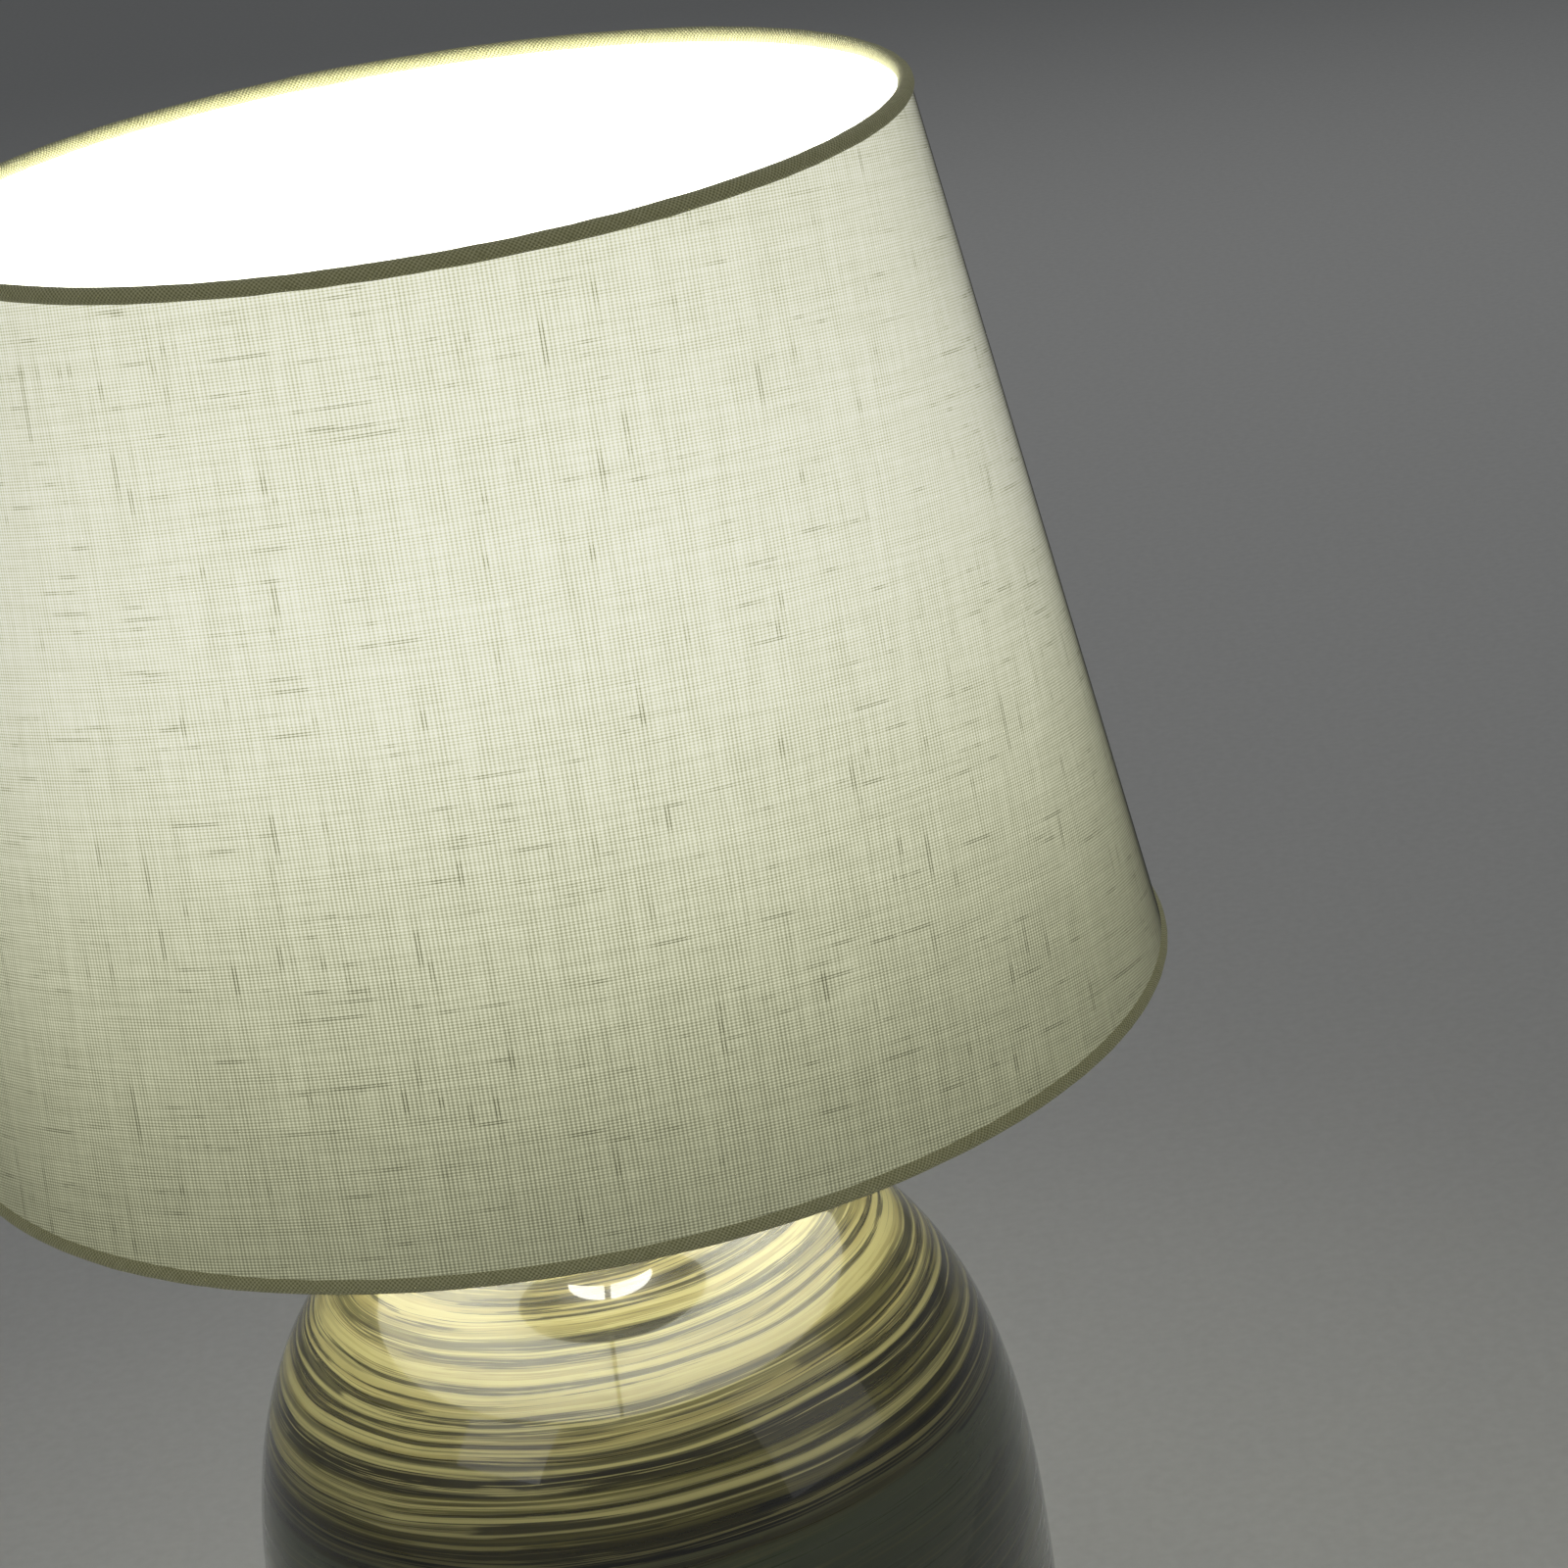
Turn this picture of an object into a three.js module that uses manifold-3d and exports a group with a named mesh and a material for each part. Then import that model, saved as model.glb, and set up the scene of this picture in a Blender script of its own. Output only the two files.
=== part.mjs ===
// Table lamp: a tapered linen drum shade on a domed, glazed ceramic body.
// Millimetres, +Z up, origin at the middle of the underside.
// The body is clamped between a base plate and a neck cap by one hollow threaded rod, which also
// carries the lampholder. The shade's fitter ring is clamped on the lampholder by two shade rings.
import * as THREE from 'three';
import { mergeVertices } from 'three/addons/utils/BufferGeometryUtils.js';
import Module from 'manifold-3d';

const wasm = await Module();
wasm.setup();

// ---- Driving dimensions ----

// Clearance between pieces that seat on each other, and between a hole and what passes through it.
const fitGap = 0.3;

// Ceramic body
const bodyRadius = 101.7;
const bodyHeight = 236.7;
const girthHeight = 107.7;
const shoulderExponent = 2.75;
const undersideExponent = 2.4;
const footRadius = 66;
const footWall = 8;
const footLedge = 8;
const footFloor = 6;
const ceramicWall = 6;
const neckLandRadius = 22;

// Felt pad, base plate and the hollow rod with its nuts and washers
const feltThickness = 2;
const feltMargin = 2;
const plateThickness = 2;
const rodRadius = 5;
const rodBore = 3.6;
const rodEnd = 0.6;
const rodUnderClearance = 0.7;
const nutFlats = 14;
const nutHeight = 4;
const baseWasherRadius = 12;
const baseWasherThickness = 1.5;
const neckWasherRadius = 20;
const neckWasherThickness = 1;

// Neck cap and spacer tube
const neckCapRadius = 24;
const neckCapHeight = 9;
const neckCapRim = 2;
const neckTubeRadius = 8;
const neckTubeHeight = 18;
const neckCapShoulder = 1;

// Lampholder with its push-bar switch
const holderWall = 1.5;
const holderFootRadius = 10.5;
const holderFootHeight = 4;
const holderFlareHeight = 13.5;
const skirtLip = 2.5;
const holderCapHeight = 31.8;
const sleeveRadius = 20;
const holderSkirtRadius = sleeveRadius + skirtLip;
const sleeveWall = 1.5;
const sleeveHeight = 32;
const sleeveFlangeThickness = 1.7;
const insertHeight = 33;
const insertFloor = 7.4;
const rivetHole = 1.2;
const screwShellWall = 0.6;
const screwShellLift = 3;
const contactHeight = 2.2;
const contactLength = 16;
const contactWidth = 6;
const contactThickness = 0.6;
const switchHeight = 11.5;
const switchLength = 16;
const switchWidth = 12;
const switchClearance = 7.6;
const barRadius = 3;
const barOverhang = 7.5;
const barTravel = 6;
const terminalRadius = 1.8;
const terminalHeight = 4;
const terminalSpread = 9.5;

// Bulb: opal pear envelope on a 27 mm screw cap
const capRadius = 13.1;
const capWall = 0.7;
const capHeight = 25;
const tipRadius = 4.6;
const tipHeight = 2;
const tipTaper = 0.7;
const capThroatStep = 3;
const insulatorHeight = 4;
const bulbRadius = 30;
const bulbLength = 105;
const bulbWall = 1;
const bulbNeckInset = 7;
const bulbFlarePower = 1.4;
const emitterRise = 14;
const emitterThickness = 2;
const emitterMargin = 3;

// Shade: two wire rings, a stiff liner, the linen, and a rolled edge round each ring
const shadeBottomRadius = 150;
const shadeTopRadius = 117.4;
const shadeHeight = 216;
const ringWireRadius = 1.3;
const trimWall = 0.5;
const trimMouth = THREE.MathUtils.degToRad(80);
const linenThickness = 0.8;
const linerThickness = 1;

// Shade fitter and the two rings that clamp it
const fitterMargin = 1.5;
const fitterThickness = 2;
const fitterRise = 21.6;
const fitterArmRadius = 1.5;
const fitterArmCount = 3;
const clampBand = 6.4;
const lowerClampHeight = 3;
const upperClampHeight = 6;

// Cord inlet near the foot, at the back
const inletHeight = 30;
const inletHoleRadius = 5;
const inletBore = 3.4;
const inletFlangeRadius = 8;
const inletFlangeThickness = 1.6;
const inletSeat = 0.9;
const slopeStep = 1;

// Facets round a full turn
const wideFacets = 48;
const bodyFacets = 40;
const holderFacets = 32;
const smallFacets = 20;
const rodFacets = 10;

// Steps along the outlines of the turned pieces
const undersideSteps = 6;
const shoulderSteps = 11;
const innerUndersideSteps = 4;
const innerShoulderSteps = 7;
const neckCapSteps = 6;
const bulbSteps = 6;
const wireSteps = 4;
const trimOuterSteps = 6;
const trimInnerSteps = 4;

// ---- Heights that follow from the stack ----

const footZ = feltThickness + fitGap;
const girthZ = footZ + girthHeight;
const crownZ = footZ + bodyHeight;
const plateStack = fitGap + plateThickness + fitGap + baseWasherThickness + fitGap + nutHeight;
const ledgeZ = footZ + plateStack + rodEnd + rodUnderClearance;
const floorZ = ledgeZ + footFloor;
const plateZ = ledgeZ - fitGap - plateThickness;
const baseWasherZ = plateZ - fitGap - baseWasherThickness;
const baseNutZ = baseWasherZ - fitGap - nutHeight;
const rodBottomZ = baseNutZ - rodEnd;

const neckWasherZ = crownZ + fitGap;
const neckCapZ = neckWasherZ + neckWasherThickness + fitGap;
const neckTubeZ = neckCapZ + neckCapHeight + fitGap;
const holderZ = neckTubeZ + neckTubeHeight + fitGap;
const lockNutZ = holderZ + holderWall + fitGap;
const rodTopZ = lockNutZ + nutHeight + rodEnd;

const switchZ = lockNutZ + nutHeight + rodEnd + switchClearance;
const barZ = switchZ + switchHeight / 2;
const insertZ = switchZ + switchHeight + fitGap;
const sleeveZ = holderZ + holderCapHeight + fitGap;
const socketFloorZ = insertZ + insertFloor;
const screwShellZ = socketFloorZ + screwShellLift;
const tipZ = socketFloorZ + fitGap + contactHeight + fitGap;
const insulatorZ = tipZ + tipHeight + fitGap;
const capZ = insulatorZ + insulatorHeight;
const bulbTopZ = tipZ + bulbLength;

const lowerClampZ = sleeveZ + sleeveFlangeThickness + fitGap;
const fitterZ = lowerClampZ + lowerClampHeight + fitGap;
const upperClampZ = fitterZ + fitterThickness + fitGap;
const shadeBottomZ = fitterZ + fitterThickness / 2 - fitterRise;
const shadeTopZ = shadeBottomZ + shadeHeight;

const rodHole = rodRadius + fitGap;
const clampBore = sleeveRadius + fitGap;
const sleeveBore = sleeveRadius - sleeveWall;
const insertRadius = sleeveBore - fitGap;
const socketRadius = capRadius + fitGap + screwShellWall + fitGap;
const trimRadius = ringWireRadius + fitGap + trimWall;

// ---- Shape helpers ----

// A turned piece from a closed outline of [radius, height] points.
function turned(outline, facets) {
  const points = outline.map(([radius, height]) => new THREE.Vector2(radius, height));
  if (THREE.ShapeUtils.area(points) < 0) {
    points.reverse();
  }
  points.push(points[0].clone());
  const geometry = new THREE.LatheGeometry(points, facets);
  geometry.rotateX(Math.PI / 2);
  return geometry;
}

// A plain ring or bush.
function ring(innerRadius, outerRadius, bottom, height, facets) {
  const top = bottom + height;
  const outline = [[innerRadius, bottom], [outerRadius, bottom], [outerRadius, top], [innerRadius, top]];
  return turned(outline, facets);
}

// A plain disc or bar that stands upright.
function disc(radius, bottom, height, facets) {
  const geometry = new THREE.CylinderGeometry(radius, radius, height, facets);
  geometry.rotateX(Math.PI / 2);
  geometry.translate(0, 0, bottom + height / 2);
  return geometry;
}

// A hexagon nut with its hole.
function nut(flats, bore, bottom, height) {
  const corner = flats / 2 / Math.cos(Math.PI / 6);
  const shape = new THREE.Shape();
  for (let side = 0; side < 6; side += 1) {
    const angle = side * Math.PI / 3;
    const x = corner * Math.cos(angle);
    const y = corner * Math.sin(angle);
    if (side === 0) {
      shape.moveTo(x, y);
    } else {
      shape.lineTo(x, y);
    }
  }
  shape.closePath();
  const hole = new THREE.Path();
  hole.absarc(0, 0, bore, 0, 2 * Math.PI, true);
  shape.holes.push(hole);
  const settings = { depth: height, bevelEnabled: false, curveSegments: rodFacets };
  const geometry = new THREE.ExtrudeGeometry(shape, settings);
  geometry.translate(0, 0, bottom);
  return geometry;
}

// Points of a circle arc in an outline, from one angle to another.
function arc(centreRadius, centreZ, radius, fromAngle, toAngle, steps) {
  const points = [];
  for (let step = 0; step <= steps; step += 1) {
    const angle = fromAngle + (toAngle - fromAngle) * step / steps;
    points.push([centreRadius + radius * Math.cos(angle), centreZ + radius * Math.sin(angle)]);
  }
  return points;
}

function manifold(geometry) {
  const bare = geometry.clone();
  bare.deleteAttribute('normal');
  bare.deleteAttribute('uv');
  const merged = mergeVertices(bare);
  const vertProperties = merged.attributes.position.array;
  const triVerts = new Uint32Array(merged.index.array);
  return new wasm.Manifold(new wasm.Mesh({ numProp: 3, vertProperties, triVerts }));
}

function cut(geometry, tool) {
  const mesh = manifold(geometry).subtract(manifold(tool)).getMesh();
  const result = new THREE.BufferGeometry();
  result.setAttribute('position', new THREE.BufferAttribute(mesh.vertProperties, mesh.numProp));
  result.setIndex(new THREE.BufferAttribute(mesh.triVerts, 1));
  result.computeVertexNormals();
  return result;
}

// ---- Finishes ----

function finish(color, roughness, metalness) {
  return new THREE.MeshStandardMaterial({ color, roughness, metalness });
}

const glaze = () => finish(0xb9ad93, 0.15, 0);
const linen = () => finish(0xd9d2a8, 0.95, 0);
const edgeCloth = () => finish(0x8d8560, 0.95, 0);
const linerFilm = () => finish(0xf3f0e8, 0.6, 0);
const enamelWire = () => finish(0xefece4, 0.4, 0.2);
const felt = () => finish(0x3c3a36, 1, 0);
const zincSteel = () => finish(0xa9acad, 0.4, 1);
const brushedBrass = () => finish(0xb6985c, 0.35, 1);
const rubber = () => finish(0x26262a, 0.9, 0);
const holderPlastic = () => finish(0xe9e4d8, 0.35, 0);
const steatite = () => finish(0xf1eee6, 0.6, 0);
const opalGlass = () => finish(0xfffbf2, 0.3, 0);
const capMetal = () => finish(0xc9c9c4, 0.35, 1);
const blackGlass = () => finish(0x1c1c1e, 0.2, 0);

const lamp = new THREE.Group();

function add(name, geometry, material, parent = lamp) {
  const mesh = new THREE.Mesh(geometry, material);
  mesh.name = name;
  parent.add(mesh);
  return mesh;
}

// ---- Ceramic body: a vessel with a superellipse shoulder, open at the neck and the foot ----

function shoulderCurve(radius, crown, landRadius, steps) {
  const last = Math.acos((landRadius / radius) ** (shoulderExponent / 2));
  const points = [];
  for (let step = 0; step <= steps; step += 1) {
    const angle = last * step / steps;
    const r = radius * Math.cos(angle) ** (2 / shoulderExponent);
    const rise = (crown - girthZ) * Math.sin(angle) ** (2 / shoulderExponent);
    points.push([r, girthZ + rise]);
  }
  return points;
}

function undersideRadius(radius, endRadius, endZ, z) {
  const depth = (girthZ - z) / (girthZ - endZ);
  return radius - (radius - endRadius) * depth ** undersideExponent;
}

function undersideCurve(radius, endRadius, endZ, steps) {
  const points = [];
  for (let step = 0; step < steps; step += 1) {
    const z = endZ + (girthZ - endZ) * step / steps;
    points.push([undersideRadius(radius, endRadius, endZ, z), z]);
  }
  return points;
}

const footBore = footRadius - footWall;
const footOpening = footBore - footLedge;
const innerRadius = bodyRadius - ceramicWall;
const innerCrownZ = crownZ - ceramicWall;

const bodyOutline = [
  ...undersideCurve(bodyRadius, footRadius, footZ, undersideSteps),
  ...shoulderCurve(bodyRadius, crownZ, neckLandRadius, shoulderSteps),
  [neckLandRadius, crownZ],
  [rodHole, crownZ],
  [rodHole, innerCrownZ],
  [neckLandRadius, innerCrownZ],
  ...shoulderCurve(innerRadius, innerCrownZ, neckLandRadius, innerShoulderSteps).reverse(),
  ...undersideCurve(innerRadius, footBore, floorZ, innerUndersideSteps).reverse(),
  [footOpening, floorZ],
  [footOpening, ledgeZ],
  [footBore, ledgeZ],
  [footBore, footZ],
];

// The inlet's axis stands square to the wall, at the back of the lamp.
const inletZ = footZ + inletHeight;
const inletY = undersideRadius(bodyRadius, footRadius, footZ, inletZ);
const wallBelow = undersideRadius(bodyRadius, footRadius, footZ, inletZ - slopeStep);
const wallLean = Math.atan2(inletY - wallBelow, slopeStep);
const inletFrame = new THREE.Matrix4().makeRotationX(Math.PI / 2 - wallLean - Math.PI);
inletFrame.setPosition(0, inletY, inletZ);

const inletHole = disc(inletHoleRadius, -2 * ceramicWall, 3 * ceramicWall, smallFacets);
inletHole.applyMatrix4(inletFrame);
add('ceramic_body', cut(turned(bodyOutline, bodyFacets), inletHole), glaze());

const bushRadius = inletHoleRadius - fitGap;
const bushOutline = [
  [inletBore, -ceramicWall],
  [bushRadius, -ceramicWall],
  [bushRadius, inletSeat],
  [inletFlangeRadius, inletSeat],
  [inletFlangeRadius, inletSeat + inletFlangeThickness / 2],
  [inletFlangeRadius - inletFlangeThickness / 2, inletSeat + inletFlangeThickness],
  [inletBore, inletSeat + inletFlangeThickness],
];
const bush = turned(bushOutline, smallFacets);
bush.applyMatrix4(inletFrame);
add('cord_inlet_bush', bush, rubber());

// ---- Foot: felt pad, base plate, washer and nut, and the rod up the middle ----

add('foot_felt', disc(footRadius - feltMargin, 0, feltThickness, bodyFacets), felt());
add('base_plate', ring(rodHole, footBore - fitGap, plateZ, plateThickness, bodyFacets), zincSteel());
const baseWasher = ring(rodHole, baseWasherRadius, baseWasherZ, baseWasherThickness, smallFacets);
add('base_washer', baseWasher, zincSteel());
add('base_nut', nut(nutFlats, rodHole, baseNutZ, nutHeight), zincSteel());
const rodLength = rodTopZ - rodBottomZ;
add('threaded_rod', ring(rodBore, rodRadius, rodBottomZ, rodLength, smallFacets), zincSteel());

// ---- Neck: rubber washer, domed cap and spacer tube ----

const neckWasher = ring(rodHole, neckWasherRadius, neckWasherZ, neckWasherThickness, smallFacets);
add('neck_washer', neckWasher, rubber());

const capDomeRadius = neckCapRadius - neckTubeRadius - neckCapShoulder;
const capDomeHeight = neckCapHeight - neckCapRim;
const neckCapOutline = [[rodHole, neckCapZ], [neckCapRadius, neckCapZ]];
for (let step = 0; step <= neckCapSteps; step += 1) {
  const angle = step / neckCapSteps * Math.PI / 2;
  const r = neckCapRadius - capDomeRadius * (1 - Math.cos(angle));
  neckCapOutline.push([r, neckCapZ + neckCapRim + capDomeHeight * Math.sin(angle)]);
}
neckCapOutline.push([rodHole, neckCapZ + neckCapHeight]);
add('neck_cap', turned(neckCapOutline, smallFacets), brushedBrass());
add('neck_tube', ring(rodHole, neckTubeRadius, neckTubeZ, neckTubeHeight, smallFacets), brushedBrass());

// ---- Lampholder ----

add('holder_lock_nut', nut(nutFlats, rodHole, lockNutZ, nutHeight), zincSteel());

const holderFootTop = holderZ + holderFootHeight;
const holderFlareTop = holderFootTop + holderFlareHeight;
const holderTop = holderZ + holderCapHeight;
const holderCapOutline = [
  [rodHole, holderZ],
  [holderFootRadius, holderZ],
  [holderFootRadius, holderFootTop],
  [holderSkirtRadius, holderFlareTop],
  [holderSkirtRadius, holderTop],
  [holderSkirtRadius - holderWall, holderTop],
  [holderSkirtRadius - holderWall, holderFlareTop],
  [holderFootRadius - holderWall, holderFootTop],
  [holderFootRadius - holderWall, holderZ + holderWall],
  [rodHole, holderZ + holderWall],
];
const barHole = disc(barRadius + fitGap, -2 * holderSkirtRadius, 4 * holderSkirtRadius, smallFacets);
barHole.rotateY(Math.PI / 2);
barHole.translate(0, 0, barZ);
add('holder_cap', cut(turned(holderCapOutline, holderFacets), barHole), holderPlastic());

const sleeveTop = sleeveZ + sleeveHeight;
const sleeveFlangeTop = sleeveZ + sleeveFlangeThickness;
const sleeveOutline = [
  [sleeveBore, sleeveZ],
  [holderSkirtRadius, sleeveZ],
  [holderSkirtRadius, sleeveFlangeTop],
  [sleeveRadius, sleeveFlangeTop],
  [sleeveRadius, sleeveTop],
  [sleeveBore, sleeveTop],
];
add('holder_sleeve', turned(sleeveOutline, holderFacets), holderPlastic());

// The insert is a solid floor that carries the contacts, with the socket's wall above it.
const insertTop = insertZ + insertHeight;
const insertOutline = [
  [rivetHole, insertZ],
  [insertRadius, insertZ],
  [insertRadius, insertTop],
  [socketRadius, insertTop],
  [socketRadius, socketFloorZ],
  [rivetHole, socketFloorZ],
];
add('holder_insert', turned(insertOutline, holderFacets), steatite());

const screwShellRadius = socketRadius - fitGap;
const screwShellHeight = insertTop - screwShellZ;
const screwShell = ring(capRadius + fitGap, screwShellRadius, screwShellZ, screwShellHeight, holderFacets);
add('screw_shell', screwShell, brushedBrass());

// A springy strip, bent up in the middle so that it presses on the bulb's tip.
const contact = new THREE.Shape();
const contactBase = socketFloorZ + fitGap;
contact.moveTo(-contactLength / 2, contactBase);
contact.lineTo(-contactLength / 4, contactBase);
contact.lineTo(-contactWidth / 4, contactBase + contactHeight - contactThickness);
contact.lineTo(contactWidth / 4, contactBase + contactHeight - contactThickness);
contact.lineTo(contactLength / 4, contactBase);
contact.lineTo(contactLength / 2, contactBase);
contact.lineTo(contactLength / 2, contactBase + contactThickness);
contact.lineTo(contactLength / 4 + contactThickness, contactBase + contactThickness);
contact.lineTo(contactWidth / 4 + contactThickness / 2, contactBase + contactHeight);
contact.lineTo(-contactWidth / 4 - contactThickness / 2, contactBase + contactHeight);
contact.lineTo(-contactLength / 4 - contactThickness, contactBase + contactThickness);
contact.lineTo(-contactLength / 2, contactBase + contactThickness);
contact.closePath();
const contactStrip = new THREE.ExtrudeGeometry(contact, { depth: contactWidth, bevelEnabled: false });
contactStrip.translate(0, 0, -contactWidth / 2);
contactStrip.rotateX(Math.PI / 2);
add('centre_contact', contactStrip, brushedBrass());

// Switch block under the insert, with the bar that is pushed through it from either side.
const block = new THREE.Shape();
block.moveTo(-switchWidth / 2, -switchHeight / 2);
block.lineTo(switchWidth / 2, -switchHeight / 2);
block.lineTo(switchWidth / 2, switchHeight / 2);
block.lineTo(-switchWidth / 2, switchHeight / 2);
block.closePath();
const barBore = new THREE.Path();
barBore.absarc(0, 0, barRadius + fitGap, 0, 2 * Math.PI, true);
block.holes.push(barBore);
const blockSettings = { depth: switchLength, bevelEnabled: false, curveSegments: rodFacets };
const switchBlock = new THREE.ExtrudeGeometry(block, blockSettings);
switchBlock.translate(0, 0, -switchLength / 2);
switchBlock.rotateX(Math.PI / 2);
switchBlock.rotateZ(Math.PI / 2);
switchBlock.translate(0, 0, barZ);
add('switch_block', switchBlock, blackGlass());

const barLength = 2 * (holderSkirtRadius + barOverhang);
const bar = new THREE.CylinderGeometry(barRadius, barRadius, barLength, rodFacets * 2);
bar.rotateZ(Math.PI / 2);
bar.translate(-barTravel / 2, 0, barZ);
add('switch_bar', bar, holderPlastic());

[-1, 1].forEach((side, index) => {
  const screw = disc(terminalRadius, insertZ - fitGap - terminalHeight, terminalHeight, rodFacets);
  screw.translate(0, side * terminalSpread, 0);
  add(`terminal_screw_${index + 1}`, screw, zincSteel());
});

// ---- Shade rings on the sleeve ----

const clampRadius = clampBore + clampBand;
const lowerClamp = ring(clampBore, clampRadius, lowerClampZ, lowerClampHeight, holderFacets);
add('lower_shade_ring', lowerClamp, holderPlastic());
const upperClamp = ring(clampBore, clampRadius, upperClampZ, upperClampHeight, holderFacets);
add('upper_shade_ring', upperClamp, holderPlastic());

// ---- Bulb ----

const tip = new THREE.CylinderGeometry(tipRadius, tipRadius * tipTaper, tipHeight, smallFacets);
tip.rotateX(Math.PI / 2);
tip.translate(0, 0, tipZ + tipHeight / 2);
add('bulb_tip', tip, capMetal());

const insulator = new THREE.CylinderGeometry(capRadius - capThroatStep, tipRadius, insulatorHeight, smallFacets);
insulator.rotateX(Math.PI / 2);
insulator.translate(0, 0, insulatorZ + insulatorHeight / 2);
add('bulb_insulator', insulator, blackGlass());

const capTop = capZ + capHeight;
const capBore = capRadius - capWall;
const capThroat = capRadius - capThroatStep + fitGap;
const screwCapOutline = [
  [capThroat - capWall, capZ + fitGap],
  [capThroat, capZ + fitGap],
  [capRadius, capZ + capThroatStep],
  [capRadius, capTop],
  [capBore, capTop],
  [capBore, capZ + capThroatStep + capWall],
  [capThroat - capWall, capZ + fitGap + capWall],
];
add('bulb_screw_cap', turned(screwCapOutline, smallFacets), capMetal());

// Envelope: a straight neck in the cap, a smooth flare, and a round crown.
const neckRadius = capBore - fitGap;
const neckZ = capTop - bulbNeckInset;
const bulbCentreZ = bulbTopZ - bulbRadius;

function envelope(inset, neckBottom) {
  const neck = neckRadius - inset;
  const round = bulbRadius - inset;
  const points = [[neck, neckBottom]];
  const flareBottom = capTop + fitGap;
  const flareTop = bulbCentreZ;
  for (let step = 0; step < bulbSteps; step += 1) {
    const t = step / bulbSteps;
    const blend = Math.sin(t * Math.PI / 2) ** bulbFlarePower;
    points.push([neck + (round - neck) * blend, flareBottom + (flareTop - flareBottom) * t]);
  }
  points.push(...arc(0, bulbCentreZ, round, 0, Math.PI / 2, bulbSteps));
  points[points.length - 1][0] = 0;
  return points;
}

function turnedOpenPole(outline, facets) {
  const points = outline.map(([radius, height]) => new THREE.Vector2(radius, height));
  const geometry = new THREE.LatheGeometry(points, facets);
  geometry.rotateX(Math.PI / 2);
  return geometry;
}

const glassOutline = [...envelope(bulbWall, neckZ).reverse(), ...envelope(0, neckZ)];
add('bulb_glass', turnedOpenPole(glassOutline, smallFacets), opalGlass());

const emitterZ = capTop + emitterRise;
const emitter = disc(neckRadius - bulbWall - emitterMargin, emitterZ, emitterThickness, smallFacets);
add('bulb_light_plate', emitter, steatite());

// ---- Shade ----

const slant = Math.atan2(shadeBottomRadius - shadeTopRadius, shadeHeight);
const alongRadius = -Math.sin(slant);
const alongZ = Math.cos(slant);

// A wall of the shade between two offsets from the line that joins the ring centres.
function shadeWall(nearOffset, farOffset) {
  const end = trimRadius + fitGap;
  const place = (radius, z, offset, along) => [
    radius + offset * alongZ + along * alongRadius,
    z - offset * alongRadius + along * alongZ,
  ];
  const outline = [
    place(shadeBottomRadius, shadeBottomZ, nearOffset, end),
    place(shadeBottomRadius, shadeBottomZ, farOffset, end),
    place(shadeTopRadius, shadeTopZ, farOffset, -end),
    place(shadeTopRadius, shadeTopZ, nearOffset, -end),
  ];
  return turned(outline, wideFacets);
}

add('shade_linen', shadeWall(fitGap / 2, fitGap / 2 + linenThickness), linen());
add('shade_liner', shadeWall(-fitGap / 2 - linerThickness, -fitGap / 2), linerFilm());

// Round wire ring, and the rolled strip of linen that wraps it, open where the wall comes in.
function wireRing(radius, z) {
  return turned(arc(radius, z, ringWireRadius, 0, 2 * Math.PI * wireSteps / (wireSteps + 1), wireSteps), wideFacets);
}

function rolledEdge(radius, z, wallDirection) {
  const from = wallDirection + trimMouth / 2;
  const to = wallDirection + 2 * Math.PI - trimMouth / 2;
  const outside = arc(radius, z, trimRadius, from, to, trimOuterSteps);
  const inside = arc(radius, z, trimRadius - trimWall, to, from, trimInnerSteps);
  return turned([...outside, ...inside], wideFacets);
}

const upTheWall = Math.PI / 2 + slant;
add('bottom_ring_wire', wireRing(shadeBottomRadius, shadeBottomZ), enamelWire());
add('top_ring_wire', wireRing(shadeTopRadius, shadeTopZ), enamelWire());
add('bottom_edge_trim', rolledEdge(shadeBottomRadius, shadeBottomZ, upTheWall), edgeCloth());
add('top_edge_trim', rolledEdge(shadeTopRadius, shadeTopZ, upTheWall + Math.PI), edgeCloth());

// Fitter: a flat ring, and arms that run down from it to the bottom ring.
const fitterBore = clampBore + fitGap;
const fitterRadius = clampRadius + fitterMargin;
const fitterRing = ring(fitterBore, fitterRadius, fitterZ, fitterThickness, holderFacets);
add('fitter_ring', fitterRing, enamelWire());

for (let index = 0; index < fitterArmCount; index += 1) {
  const start = new THREE.Vector3(fitterRadius + fitGap, 0, fitterZ + fitterThickness / 2);
  const end = new THREE.Vector3(shadeBottomRadius - trimRadius - fitGap, 0, shadeBottomZ);
  const direction = end.clone().sub(start);
  const arm = new THREE.CylinderGeometry(fitterArmRadius, fitterArmRadius, direction.length(), rodFacets);
  const turn = new THREE.Quaternion();
  turn.setFromUnitVectors(new THREE.Vector3(0, 1, 0), direction.clone().normalize());
  arm.applyQuaternion(turn);
  arm.translate((start.x + end.x) / 2, 0, (start.z + end.z) / 2);
  arm.rotateZ(-Math.PI / 2 + index * 2 * Math.PI / fitterArmCount);
  add(`fitter_arm_${index + 1}`, arm, enamelWire());
}

export default lamp;
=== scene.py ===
from math import atan2, cos, hypot, pi, radians, sin, sqrt, tau

import bmesh
import bpy
from mathutils import Matrix, Vector, noise


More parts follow.
